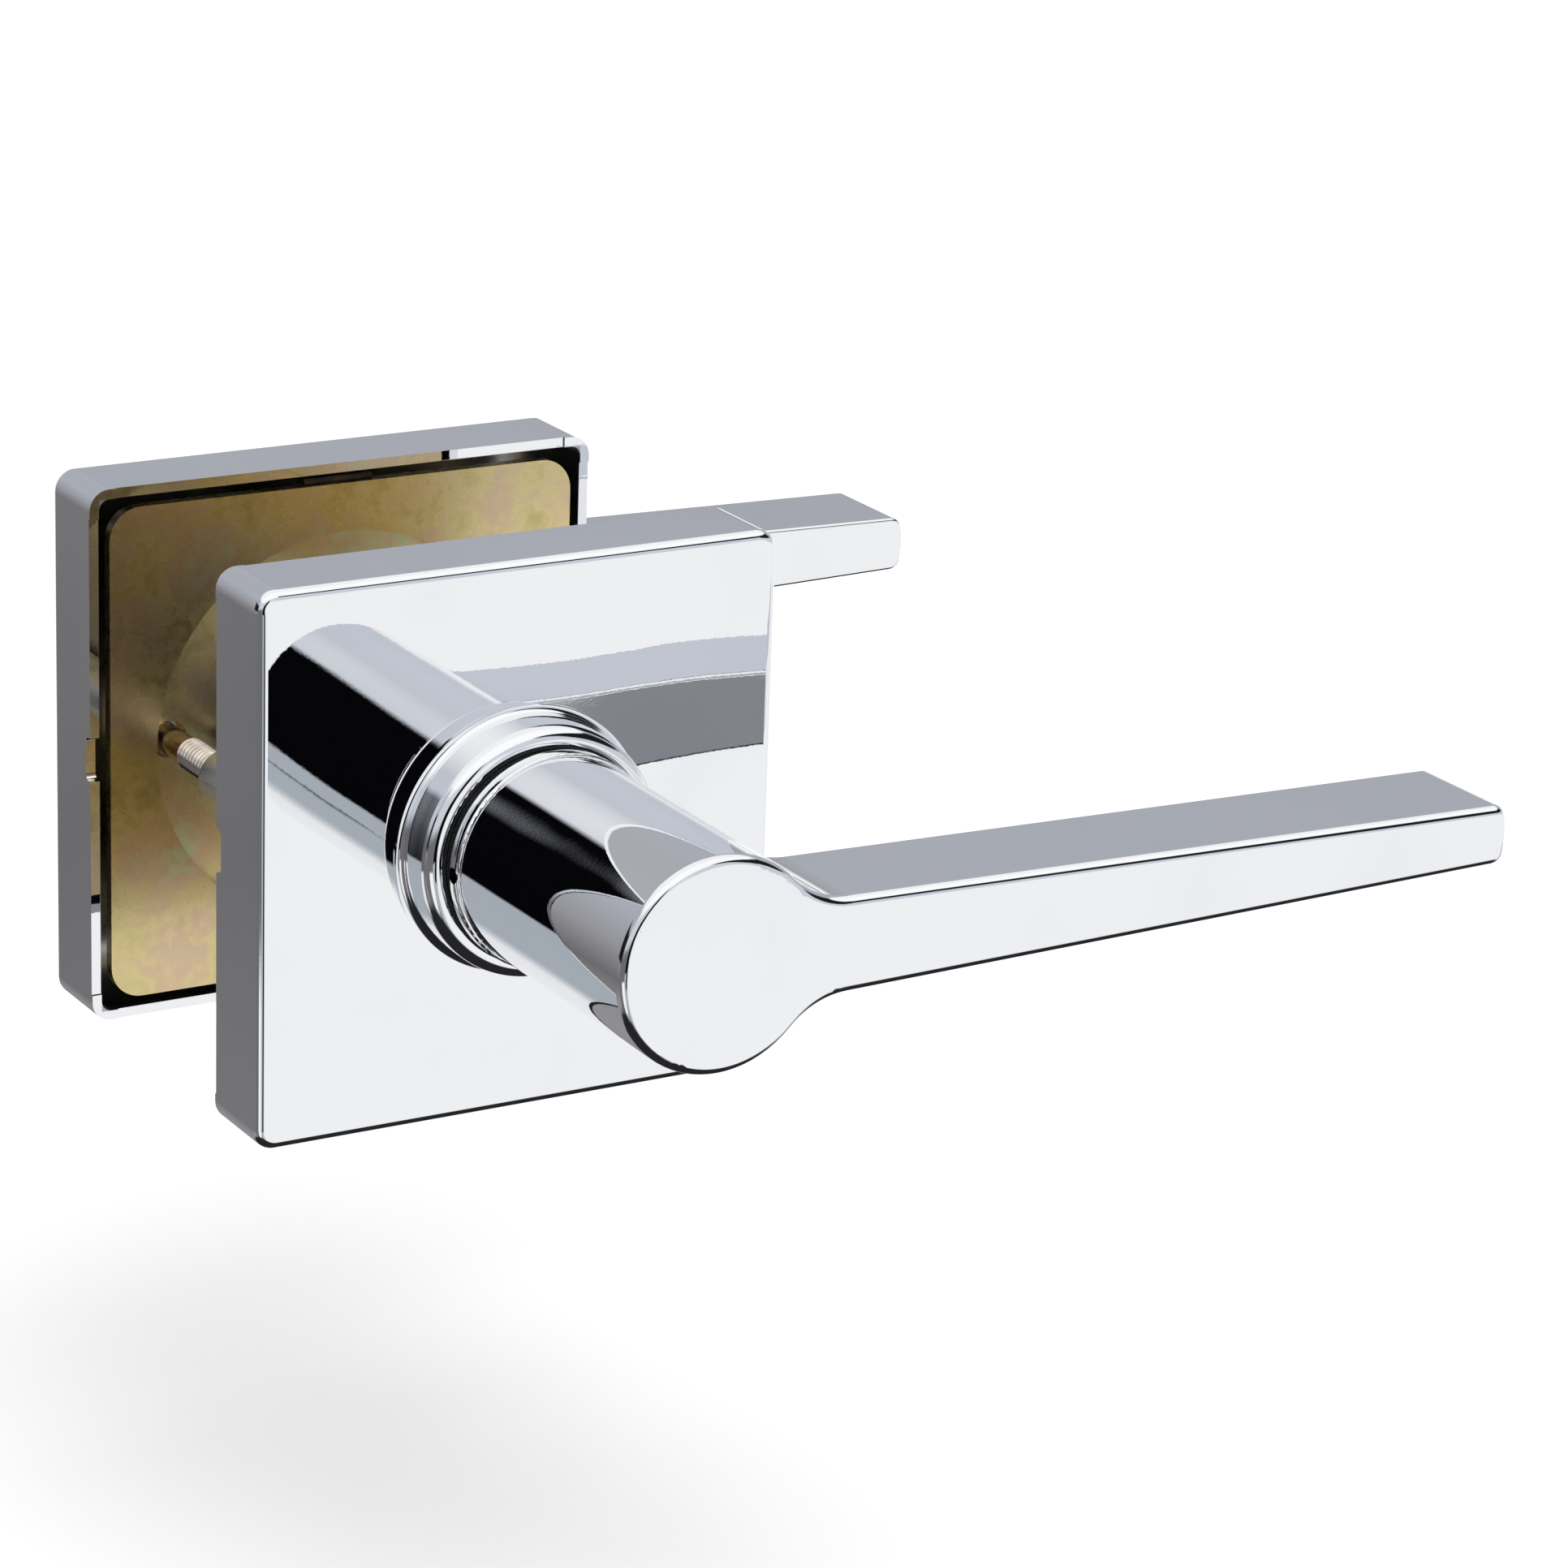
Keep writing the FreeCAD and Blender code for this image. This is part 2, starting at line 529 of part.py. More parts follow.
def flatted_circle(piece, sketch, radius, flat):
    """Circle cut by two flats, drawn as two arcs and two lines."""
    guess_radius, guess_flat = 8.0, 7.2
    angle = math.asin(guess_flat / guess_radius)
    centre, up = FreeCAD.Vector(0, 0, 0), FreeCAD.Vector(0, 0, 1)
    circle = Part.Circle(centre, up, guess_radius)
    right = Part.ArcOfCircle(circle, -angle, angle)
    left = Part.ArcOfCircle(circle, math.pi - angle, math.pi + angle)
    for shape in (
        right,
        Part.LineSegment(right.EndPoint, left.StartPoint),
        left,
        Part.LineSegment(left.EndPoint, right.StartPoint),
    ):
        sketch.addGeometry(shape, False)
    for ends in ((0, 2, 1, 1), (1, 2, 2, 1), (2, 2, 3, 1), (3, 2, 0, 1), (0, 3, -1, 1), (2, 3, -1, 1)):
        sketch.addConstraint(Sketcher.Constraint("Coincident", *ends))
    sketch.addConstraint(Sketcher.Constraint("Horizontal", 1))
    sketch.addConstraint(Sketcher.Constraint("Horizontal", 3))
    sketch.addConstraint(Sketcher.Constraint("Equal", 0, 2))
    across = sketch.addConstraint(Sketcher.Constraint("Radius", 0, guess_radius))
    sketch.setExpression(f"Constraints[{across}]", radius)
    for line, sign in ((1, ""), (3, "-")):
        guess = guess_flat if line == 1 else -guess_flat
        height = sketch.addConstraint(Sketcher.Constraint("DistanceY", -1, 1, line, 1, guess))
        sketch.setExpression(f"Constraints[{height}]", f"{sign}({flat})")


def drive_sleeve(doc, sheet, side):
    """Steel sleeve that the lever slides on, with a square hole for the spindle."""
    piece = Piece(doc, f"{side}_drive_sleeve")
    journal = piece.sketch("XY_Plane", "-Dims.sleeve_inner_end")
    piece.circle(journal, "Dims.sleeve_radius")
    piece.pad(journal, "Dims.sleeve_inner_end + Dims.flat_start")
    flats = piece.sketch("XY_Plane", "Dims.flat_start")
    flatted_circle(piece, flats, "Dims.sleeve_radius", "Dims.sleeve_flat")
    piece.pad(flats, "Dims.sleeve_outer_end - Dims.flat_start")

    hollow = piece.sketch("XY_Plane", "Dims.sleeve_outer_end")
    piece.circle(hollow, "Dims.sleeve_bore_radius")
    piece.pocket(hollow, "Dims.sleeve_outer_end - Dims.sleeve_web")
    square = piece.sketch("XY_Plane", "Dims.sleeve_web")
    piece.square(square, "(Dims.spindle_width + Dims.spindle_play) / 2")
    piece.pocket(square, "Dims.sleeve_web + Dims.sleeve_inner_end")

    groove = piece.sketch("XZ_Plane")
    piece.rectangle(
        groove, "Dims.ring_groove_radius", "Dims.sleeve_radius + Dims.ring_thickness",
        "Dims.ring_start - Dims.sleeve_fit", "Dims.ring_start + Dims.ring_thickness + Dims.sleeve_fit",
    )
    piece.revolve(groove, "Groove")

    half = "(Dims.catch_nose / 2 + Dims.catch_play)"
    slot = piece.sketch("YZ_Plane", "-Dims.catch_tip")
    piece.rectangle(slot, f"-{half}", half, f"Dims.catch_height - {half}", f"Dims.catch_height + {half}")
    piece.pocket(slot, "Dims.catch_tip - Dims.catch_base_inner", forward=True)
    return piece.body


def spindle(doc, sheet):
    """Square bar through the door that ties the two drive sleeves together."""
    piece = Piece(doc, "spindle")
    section = piece.sketch("XY_Plane", "-(Dims.door_thickness + Dims.spindle_end)")
    piece.square(section, "Dims.spindle_width / 2")
    piece.pad(section, "Dims.door_thickness + 2 * Dims.spindle_end")
    ends = (sheet.get("spindle_end"), -sheet.get("spindle_end") - sheet.get("door_thickness"))
    piece.round_off(
        lambda edge: any(at_height(end)(edge) for end in ends), "Dims.spindle_chamfer", "Chamfer"
    )
    return piece.body


def lever_catch(doc, sheet, side):
    """Sprung catch: its nose passes through the sleeve and locks the lever on."""
    piece = Piece(doc, f"{side}_lever_catch")
    nose = piece.sketch("YZ_Plane", "-Dims.catch_tip")
    half = "Dims.catch_nose / 2"
    piece.rectangle(nose, f"-{half}", half, f"Dims.catch_height - {half}", f"Dims.catch_height + {half}")
    piece.pad(nose, "Dims.catch_tip - Dims.catch_base_inner")
    base = piece.sketch("YZ_Plane", "-Dims.catch_base_outer")
    half = "Dims.catch_base / 2"
    piece.rectangle(base, f"-{half}", half, f"Dims.catch_height - {half}", f"Dims.catch_height + {half}")
    piece.pad(base, "Dims.catch_base_outer - Dims.catch_base_inner")
    tip = -sheet.get("catch_tip")
    piece.round_off(
        lambda edge: edge.BoundBox.XMax < tip + NEAR, "Dims.catch_nose / 6", "Chamfer"
    )
    return piece.body


def catch_spring(doc, sheet, side):
    """Bowed leaf that pushes the catch outwards from inside the drive sleeve."""
    piece = Piece(doc, f"{side}_catch_spring")
    bow = piece.sketch("XY_Plane", "Dims.catch_height - Dims.catch_spring_width / 2")
    middle = "Dims.sleeve_bore_radius - Dims.catch_spring_radius - Dims.sleeve_fit"
    piece.circle(bow, "Dims.catch_spring_radius", middle)
    piece.circle(bow, "Dims.catch_spring_radius - Dims.catch_spring_wire", middle)
    piece.pad(bow, "Dims.catch_spring_width")
    gap = piece.sketch("XY_Plane", "Dims.catch_height + Dims.catch_spring_width / 2")
    opening = f"{middle} + Dims.catch_spring_gap"
    piece.rectangle(gap, middle, opening, "Dims.catch_spring_foot", "Dims.sleeve_bore_radius")
    piece.pocket(gap, "Dims.catch_spring_width")
    return piece.body


def mounting_plate(doc, sheet, side):
    """Pressed steel plate with a raised centre that carries the bearing and the screws."""
    piece = Piece(doc, f"{side}_mounting_plate")
    flange = piece.sketch("XY_Plane")
    piece.square(flange, "Dims.plate_width / 2")
    piece.pad(flange, "Dims.plate_wall")
    piece.round_off(upright, "Dims.plate_corner")
    plateau = piece.sketch("XY_Plane")
    piece.circle(plateau, "Dims.plateau_radius")
    piece.pad(plateau, "Dims.plateau_height")
    piece.round_off(ring_at(sheet.get("plateau_height"), sheet.get("plateau_radius")), "Dims.plateau_round")
    dish = piece.sketch("XY_Plane")
    piece.circle(dish, "Dims.plateau_radius - Dims.plate_wall")
    piece.pocket(dish, "Dims.plateau_height - Dims.plate_wall", forward=True)
    hub = piece.sketch("XY_Plane", "Dims.plateau_height")
    piece.circle(hub, "Dims.hub_radius")
    holes = "Dims.post_spigot_radius" if side == "outside" else "Dims.screw_radius + 2 * Dims.catch_play"
    piece.circle(hub, holes, "Dims.screw_spacing / 2")
    piece.circle(hub, holes, "-Dims.screw_spacing / 2")
    piece.pocket(hub, "2 * Dims.plate_wall")
    return piece.body


def bearing_bush(doc, sheet, side):
    """Flanged bearing pressed into the plate for the drive sleeve."""
    piece = Piece(doc, f"{side}_bearing_bush")
    profile = piece.sketch("XZ_Plane")
    bore = "Dims.sleeve_radius + Dims.sleeve_fit"
    top = "Dims.plateau_height + Dims.bearing_flange"
    under = "Dims.plateau_height - Dims.bearing_length"
    piece.polygon(profile, [
        (bore, under),
        ("Dims.hub_radius", under),
        ("Dims.hub_radius", "Dims.plateau_height"),
        ("Dims.bearing_flange_radius", "Dims.plateau_height"),
        ("Dims.bearing_flange_radius", top),
        (bore, top),
    ])
    piece.revolve(profile)
    return piece.body


def thrust_washer(doc, sheet, side):
    """Plain washer between the bearing's flange and the retaining ring."""
    return turned_ring(
        doc, f"{side}_thrust_washer", "Dims.sleeve_radius + 2 * Dims.catch_play", "Dims.washer_radius",
        "Dims.plateau_height + Dims.bearing_flange", "Dims.washer_thickness",
    ).body


def retaining_ring(doc, sheet, side):
    """Open ring that snaps into the groove of the drive sleeve."""
    piece = turned_ring(
        doc, f"{side}_retaining_ring", "Dims.ring_groove_radius + Dims.sleeve_fit", "Dims.ring_radius",
        "Dims.ring_start", "Dims.ring_thickness",
    )
    gap = piece.sketch("XY_Plane", "Dims.ring_start + Dims.ring_thickness")
    half, outer = "Dims.ring_gap / 2", "Dims.ring_radius + Dims.ring_thickness"
    piece.rectangle(gap, f"-{half}", half, f"-({outer})", "-Dims.ring_gap_end")
    piece.pocket(gap, "Dims.ring_thickness")
    return piece.body


def spring_cage(doc, sheet, side):
    """Cup behind the plate that holds the return spring, with one fixed tab."""
    piece = Piece(doc, f"{side}_spring_cage")
    cup = piece.sketch("XY_Plane", "-Dims.cage_depth")
    piece.circle(cup, "Dims.cage_radius")
    height = "Dims.cage_depth + Dims.plateau_height - Dims.plate_wall"
    piece.pad(cup, height)
    piece.round_off(ring_at(-sheet.get("cage_depth"), sheet.get("cage_radius")), "Dims.cage_wall / 2")
    room = piece.sketch("XY_Plane", "Dims.plateau_height - Dims.plate_wall")
    piece.circle(room, "Dims.cage_radius - Dims.cage_wall")
    piece.pocket(room, f"{height} - Dims.cage_floor")
    hole = piece.sketch("XY_Plane", "-Dims.cage_depth")
    piece.circle(hole, "Dims.cage_hole_radius")
    piece.pocket(hole, "Dims.cage_wall", forward=True)
    tab = piece.sketch("XY_Plane", "-Dims.cage_depth + Dims.cage_wall / 2")
    wall = "Dims.cage_radius - Dims.cage_wall"
    piece.rectangle(
        tab, "-Dims.cage_tab_width / 2", "Dims.cage_tab_width / 2",
        f"{wall} - Dims.cage_tab_depth", f"{wall} + Dims.cage_wall / 2",
    )
    piece.pad(tab, f"{height} - Dims.cage_wall / 2")
    return piece.body


def spring_driver(doc, sheet, side):
    """Plate fixed on the drive sleeve whose finger winds the return spring."""
    piece = Piece(doc, f"{side}_spring_driver")
    disc = piece.sketch("XY_Plane", "-Dims.driver_start")
    piece.circle(disc, "Dims.driver_radius")
    piece.pad(disc, "Dims.driver_thickness")
    strip = piece.sketch("XY_Plane", "-Dims.driver_start")
    half = "Dims.finger_width / 2"
    inner = "Dims.finger_outer - Dims.finger_thickness"
    root = "Dims.driver_radius - Dims.driver_thickness"
    piece.rectangle(strip, f"-{half}", half, root, "Dims.finger_outer")
    piece.pad(strip, "Dims.driver_thickness")
    finger = piece.sketch("XY_Plane", "-Dims.driver_start")
    piece.rectangle(finger, f"-{half}", half, inner, "Dims.finger_outer")
    piece.pad(finger, "Dims.driver_start + Dims.finger_top")
    bore = piece.sketch("XY_Plane", "-Dims.driver_start")
    piece.circle(bore, "Dims.sleeve_radius")
    piece.pocket(bore, "Dims.driver_thickness", forward=True)
    return piece.body


def return_spring(doc, sheet, side):
    """Coiled torsion spring whose two legs stand on each side of the driver's finger."""
    radius, wire, pitch = (sheet.get(n) for n in ("spring_radius", "spring_wire_radius", "spring_pitch"))
    lead, leg_end = sheet.get("spring_leg_angle"), sheet.get("spring_leg_end")
    start = -sheet.get("spring_start")
    height = pitch * (sheet.get("spring_turns") + 2 * lead / 360)
    path = Part.makeHelix(pitch, height, radius)
    section = Part.Wire(Part.makeCircle(wire, FreeCAD.Vector(radius, 0, 0), FreeCAD.Vector(0, 1, 0)))
    solid = Part.Wire(path.Edges).makePipeShell([section], True, True)
    solid.rotate(FreeCAD.Vector(0, 0, 0), FreeCAD.Vector(0, 0, 1), 90 - lead)
    solid.translate(FreeCAD.Vector(0, 0, start))
    for angle, level in ((90 - lead, start), (90 + lead, start + height)):
        out = FreeCAD.Vector(math.cos(math.radians(angle)), math.sin(math.radians(angle)), 0)
        leg_start = out * (radius - wire / 2)
        leg_start.z = level
        solid = solid.fuse(Part.makeCylinder(wire, leg_end - radius + wire / 2, leg_start, out))
    spring = doc.addObject("Part::Feature", f"{side}_return_spring")
    spring.Label = f"{side}_return_spring"
    spring.Shape = solid
    return spring


def mirrored_pair(doc, label, source, normal):
    """A piece and its mirror image as one sub-part of two solids."""
    mirror = doc.addObject("Part::Mirroring", f"{label}_mirror")
    mirror.Source = source
    mirror.Normal = normal
    pair = doc.addObject("Part::Compound", f"{label}_pair")
    pair.Label = label
    pair.Links = [source, mirror]
    return pair


def through_screws(doc, sheet):
    """Two machine screws with domed heads and a cross recess, drawn in the inside trim's frame."""
    piece = Piece(doc, "through_screw")
    profile = piece.sketch("XZ_Plane")
    rim = "Dims.plateau_height + Dims.screw_head_rim"
    end = "Dims.screw_tip - Dims.door_thickness"
    piece.polygon(profile, [
        ("0", end),
        ("Dims.screw_radius - Dims.screw_chamfer", end),
        ("Dims.screw_radius", f"{end} + Dims.screw_chamfer"),
        ("Dims.screw_radius", "Dims.plateau_height"),
        ("Dims.screw_head_radius", "Dims.plateau_height"),
        ("Dims.screw_head_radius", rim),
        ("Dims.screw_head_radius * Dims.dome_side", f"{rim} + Dims.screw_head_dome * Dims.dome_side_rise"),
        ("Dims.screw_head_radius * Dims.dome_crown", f"{rim} + Dims.screw_head_dome * Dims.dome_crown_rise"),
        ("0", f"{rim} + Dims.screw_head_dome"),
    ])
    piece.revolve(profile)
    top = sheet.get("plateau_height") + sheet.get("screw_head_rim")
    piece.round_off(
        lambda edge: edge.BoundBox.ZMin > top - NEAR and edge.BoundBox.ZLength < NEAR
        and edge.BoundBox.XLength > MARGIN,
        "Dims.dome_round",
    )
    cross = piece.sketch("XY_Plane", f"{rim} + Dims.screw_head_dome")
    arm, half = "Dims.recess_length / 2", "Dims.recess_width / 2"
    steps = [(arm, half), (half, half), (half, arm)]
    corners = []
    for sign_x, sign_y, order in ((1, 1, 1), (-1, 1, -1), (-1, -1, 1), (1, -1, -1)):
        for across, along in steps[::order]:
            corners.append((f"{sign_x} * {across}", f"{sign_y} * {along}"))
    piece.polygon(cross, corners)
    piece.pocket(cross, "Dims.recess_depth")
    piece.body.setExpression("Placement.Base.x", "Dims.screw_spacing / 2")
    doc.recompute()
    return mirrored_pair(doc, "through_screws", piece.body, FreeCAD.Vector(1, 0, 0))


def screw_posts(doc, sheet):
    """Two threaded posts staked in the outside plate, drawn in the outside trim's frame."""
    piece = Piece(doc, "screw_post")
    barrel = piece.sketch("XY_Plane", "-Dims.post_length")
    piece.circle(barrel, "Dims.post_radius")
    under = "Dims.plateau_height - Dims.plate_wall"
    piece.pad(barrel, f"Dims.post_length + {under}")
    end_ring = ring_at(-sheet.get("post_length"), sheet.get("post_radius"))
    piece.round_off(end_ring, "Dims.post_chamfer", "Chamfer")
    spigot = piece.sketch("XY_Plane", under)
    piece.circle(spigot, "Dims.post_spigot_radius")
    piece.pad(spigot, "Dims.plate_wall + Dims.post_stake")
    bore = piece.sketch("XY_Plane", f"{under} + Dims.plate_wall + Dims.post_stake")
    piece.circle(bore, "Dims.post_bore_radius")
    piece.pocket(bore, f"Dims.post_length + {under} + Dims.plate_wall + Dims.post_stake")
    piece.body.setExpression("Placement.Base.x", "Dims.screw_spacing / 2")
    doc.recompute()
    return mirrored_pair(doc, "screw_posts", piece.body, FreeCAD.Vector(1, 0, 0))


def rose_clips(doc, sheet, side):
    """Two bent spring clips that grip the rose from inside, above and below."""
    piece = Piece(doc, f"{side}_rose_clip")
    profile = piece.sketch("YZ_Plane", "-Dims.clip_width / 2")
    floor, sheet_top = "Dims.plate_wall", "Dims.plate_wall + Dims.clip_sheet"
    leg_in = "Dims.clip_leg - Dims.clip_sheet"
    waist, crest = "Dims.clip_height * Dims.clip_waist", "Dims.clip_height * Dims.clip_crest"
    piece.polygon(profile, [
        ("Dims.clip_foot", floor),
        (leg_in, floor),
        ("Dims.clip_leg", f"{floor} + Dims.clip_sheet"),
        ("Dims.clip_leg", waist),
        ("Dims.clip_bump", crest),
        ("Dims.clip_leg", "Dims.clip_height"),
        (leg_in, "Dims.clip_height"),
        ("Dims.clip_bump - Dims.clip_sheet", crest),
        (leg_in, waist),
        (leg_in, sheet_top),
        ("Dims.clip_foot", sheet_top),
    ])
    piece.pad(profile, "Dims.clip_width")
    return mirrored_pair(doc, f"{side}_rose_clips", piece.body, FreeCAD.Vector(0, 1, 0))


def check(doc, subparts):
    """Stop if an object failed to build or a sub-part has no sound solid."""
    for thing in doc.Objects:
        if {"Invalid", "Error"} & set(thing.State):
            raise RuntimeError(f"{thing.Name} is {thing.State}")
    for part in subparts:
        shape = part.Shape
        if shape.isNull() or not shape.isValid() or not shape.Solids:
            raise RuntimeError(f"{part.Label} has no sound solid")


def main():
    """Build the set, check it and write one file for each sub-part."""
    doc = FreeCAD.newDocument("lever_set")
    sheet = driving_dimensions(doc)
    placements = {side: trim_placement(sheet, side) for side in SIDES}
    makers = (
        lever, rose_cover, rose_collar, neck_bush, drive_sleeve, lever_catch, catch_spring,
        mounting_plate, bearing_bush, thrust_washer, retaining_ring, spring_cage, spring_driver,
        return_spring, rose_clips,
    )
    placed = [(maker(doc, sheet, side), side) for side in SIDES for maker in makers]
    placed.append((spindle(doc, sheet), "outside"))
    placed.append((screw_posts(doc, sheet), "outside"))
    placed.append((through_screws(doc, sheet), "inside"))
    for part, side in placed:
        part.Placement = placements[side]
    doc.recompute()

    subparts = [part for part, _ in placed]
    check(doc, subparts)
    os.makedirs(OUTPUT, exist_ok=True)
    for part in subparts:
        part.Shape.exportStep(os.path.join(OUTPUT, f"{part.Label}.step"))
        print(f"{part.Label}: {len(part.Shape.Solids)} solid(s), {part.Shape.Volume / 1000:.2f} cm3")


main()
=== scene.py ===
"""Looks of a passage door lever set: bright-plated levers on square roses.

The frame gives every rigid piece at its place. This script dresses each one, models the threaded
screws and the coiled return springs anew, and sets up the studio. Lengths are in metres.
"""

import logging
import math
from abc import ABC, abstractmethod
from dataclasses import dataclass, field
from enum import Enum
from functools import cache
from typing import Any, Callable, Union

import bpy
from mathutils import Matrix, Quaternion, Vector


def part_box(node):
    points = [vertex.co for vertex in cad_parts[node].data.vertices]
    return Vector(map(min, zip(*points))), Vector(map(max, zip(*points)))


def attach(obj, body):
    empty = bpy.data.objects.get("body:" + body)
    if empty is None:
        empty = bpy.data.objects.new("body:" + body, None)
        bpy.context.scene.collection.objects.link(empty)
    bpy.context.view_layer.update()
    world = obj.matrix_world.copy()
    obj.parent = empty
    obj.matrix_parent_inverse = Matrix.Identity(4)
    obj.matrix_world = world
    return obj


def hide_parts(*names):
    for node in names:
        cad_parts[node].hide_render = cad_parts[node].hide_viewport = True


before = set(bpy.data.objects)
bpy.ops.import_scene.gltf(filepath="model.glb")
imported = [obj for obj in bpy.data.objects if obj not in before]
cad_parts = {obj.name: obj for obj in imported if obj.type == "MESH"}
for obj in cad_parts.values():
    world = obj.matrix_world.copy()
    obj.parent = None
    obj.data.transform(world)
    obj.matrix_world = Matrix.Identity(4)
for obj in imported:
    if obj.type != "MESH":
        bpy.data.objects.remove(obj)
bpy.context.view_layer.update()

MM = 0.001
WELD = 1e-7
log = logging.getLogger("lever_set")

Triple = tuple[float, float, float]
Colour = Triple
Stops = tuple[tuple[float, Colour], ...]
Link = Union["Value", float, Triple]


class Side(Enum):
    """The two trims of the set, with the sign of Y that each one faces."""

    OUTSIDE = -1
    INSIDE = 1

    @property
    def label(self) -> str:
        """Start of this trim's node names."""
        return self.name.lower()

    def node(self, piece: str) -> bpy.types.Object:
        """One of this trim's pieces in the frame."""
        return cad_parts[f"{self.label}_{piece}"]


class Cloth(Enum):
    """Colours of the cloths round the set, as a polished surface sees them."""

    FILL = (1.05, 1.05, 1.05)
    BACKDROP = (0.945, 0.945, 0.945)
    WHITE = (1.0, 1.0, 1.0)
    HEAD_ON = (0.96, 0.965, 0.97)
    LOW_RIGHT = (0.97, 0.975, 0.98)
    LOW_LEFT = (0.46, 0.50, 0.54)
    PALE = (0.29, 0.29, 0.31)
    GREY = (0.165, 0.16, 0.17)
    UNDER = (0.02, 0.02, 0.022)
    BLACK = (0.012, 0.012, 0.014)
    FLAG = (0.002, 0.002, 0.003)


# ---------------------------------------------------------------- shader building


class Value:
    """A socket that Python's operators turn into Math nodes."""

    def __init__(self, tree: "ShaderTree", socket: bpy.types.NodeSocket) -> None:
        """Wrap a socket.

        Args:
            tree: the tree that the socket belongs to.
            socket: an output socket.
        """
        self.tree = tree
        self.socket = socket

    def _math(self, operation: str, *terms: Link) -> "Value":
        """Add a Math node for an operation on some terms."""
        inputs = dict(enumerate(terms))
        return self.tree.make("ShaderNodeMath", {"operation": operation}, inputs)

    def __add__(self, other: Link) -> "Value":
        """self + other."""
        return self._math("ADD", self, other)

    def __radd__(self, other: Link) -> "Value":
        """other + self."""
        return self._math("ADD", other, self)

    def __sub__(self, other: Link) -> "Value":
        """self - other."""
        return self._math("SUBTRACT", self, other)

    def __rsub__(self, other: Link) -> "Value":
        """other - self."""
        return self._math("SUBTRACT", other, self)

    def __mul__(self, other: Link) -> "Value":
        """self * other."""
        return self._math("MULTIPLY", self, other)

    def __rmul__(self, other: Link) -> "Value":
        """other * self."""
        return self._math("MULTIPLY", other, self)

    def __abs__(self) -> "Value":
        """Size of self without its sign."""
        return self._math("ABSOLUTE", self)

    def most(self, other: Link) -> "Value":
        """The larger of two values."""
        return self._math("MAXIMUM", self, other)

    def step(self, low: float, high: float, start: float = 0.0, end: float = 1.0) -> "Value":
        """Smooth rise from one value to another.

        Args:
            low: input where the rise begins.
            high: input where it ends, which may be below low.
            start: result before the rise.
            end: result after it.

        Returns:
            The smoothed value.
        """
        if high < low:
            low, high, start, end = high, low, end, start
        settings = {"interpolation_type": "SMOOTHSTEP"}
        inputs = {0: self, 1: low, 2: high, 3: start, 4: end}
        return self.tree.make("ShaderNodeMapRange", settings, inputs)


class ShaderTree:
    """Builds the nodes of one material or world."""

    def __init__(self, tree: bpy.types.NodeTree) -> None:
        """Start from a tree with its default nodes."""
        self.tree = tree

    def make(
        self, kind: str, settings: dict[str, Any], inputs: dict[Any, Link], output: Any = 0
    ) -> Value:
        """Add a node.

        Args:
            kind: the node's type.
            settings: attributes that are set first; "stops" fills a colour ramp.
            inputs: values or links of its sockets, by number or name.
            output: the output socket that is returned.

        Returns:
            The chosen output.
        """
        node = self.tree.nodes.new(kind)
        for name, setting in settings.items():
            if name == "stops":
                self._fill_ramp(node.color_ramp, setting)
            else:
                setattr(node, name, setting)
        for key, value in inputs.items():
            self.feed(node.inputs[key], value)
        return Value(self, node.outputs[output])

    def feed(self, socket: bpy.types.NodeSocket, value: Link) -> None:
        """Link a value to a socket, or set it there."""
        if isinstance(value, Value):
            self.tree.links.new(value.socket, socket)
        elif isinstance(value, tuple) and socket.type == "RGBA":
            socket.default_value = (*value, 1.0)
        else:
            socket.default_value = value

    @staticmethod
    def _fill_ramp(ramp: bpy.types.ColorRamp, stops: Stops) -> None:
        """Give a colour ramp its stops."""
        while len(ramp.elements) < len(stops):
            ramp.elements.new(1.0)
        for element, (place, colour) in zip(ramp.elements, stops):
            element.position = place
            element.color = (*colour, 1.0)

    def coordinates(self, stretch: Triple = (1.0, 1.0, 1.0)) -> Value:
        """Object coordinates, stretched along each axis."""
        place = self.make("ShaderNodeTexCoord", {}, {}, "Object")
        return self.make("ShaderNodeVectorMath", {"operation": "MULTIPLY"}, {0: place, 1: stretch})

    def axes(self, vector: Value) -> tuple[Value, Value, Value]:
        """The three parts of a vector."""
        first = self.make("ShaderNodeSeparateXYZ", {}, {0: vector})
        return tuple(Value(self, socket) for socket in first.socket.node.outputs)

    def noise(self, size: float, detail: float = 2.0, stretch: Triple = (1.0, 1.0, 1.0)) -> Value:
        """Soft noise between 0 and 1.

        Args:
            size: width of one blotch, in metres.
            detail: how many finer layers it has.
            stretch: factors on the coordinates, to draw it out.
        """
        inputs = {"Vector": self.coordinates(stretch), "Scale": 1 / size, "Detail": detail}
        return self.make("ShaderNodeTexNoise", {}, inputs)

    def blend(self, factor: Link, first: Link, second: Link) -> Value:
        """Mix two colours."""
        settings = {"data_type": "RGBA"}
        return self.make("ShaderNodeMix", settings, {0: factor, 6: first, 7: second}, 2)

    def ramp(self, factor: Value, stops: Stops) -> Value:
        """Colours along a value."""
        return self.make("ShaderNodeValToRGB", {"stops": stops}, {0: factor})

    def bump(self, height: Value, depth: float) -> Value:
        """Turn a height between 0 and 1 into a bent normal.

        Args:
            height: the height.
            depth: what a height of 1 stands for, in metres.
        """
        inputs = {"Height": height, "Distance": depth, "Strength": 1.0}
        return self.make("ShaderNodeBump", {}, inputs)


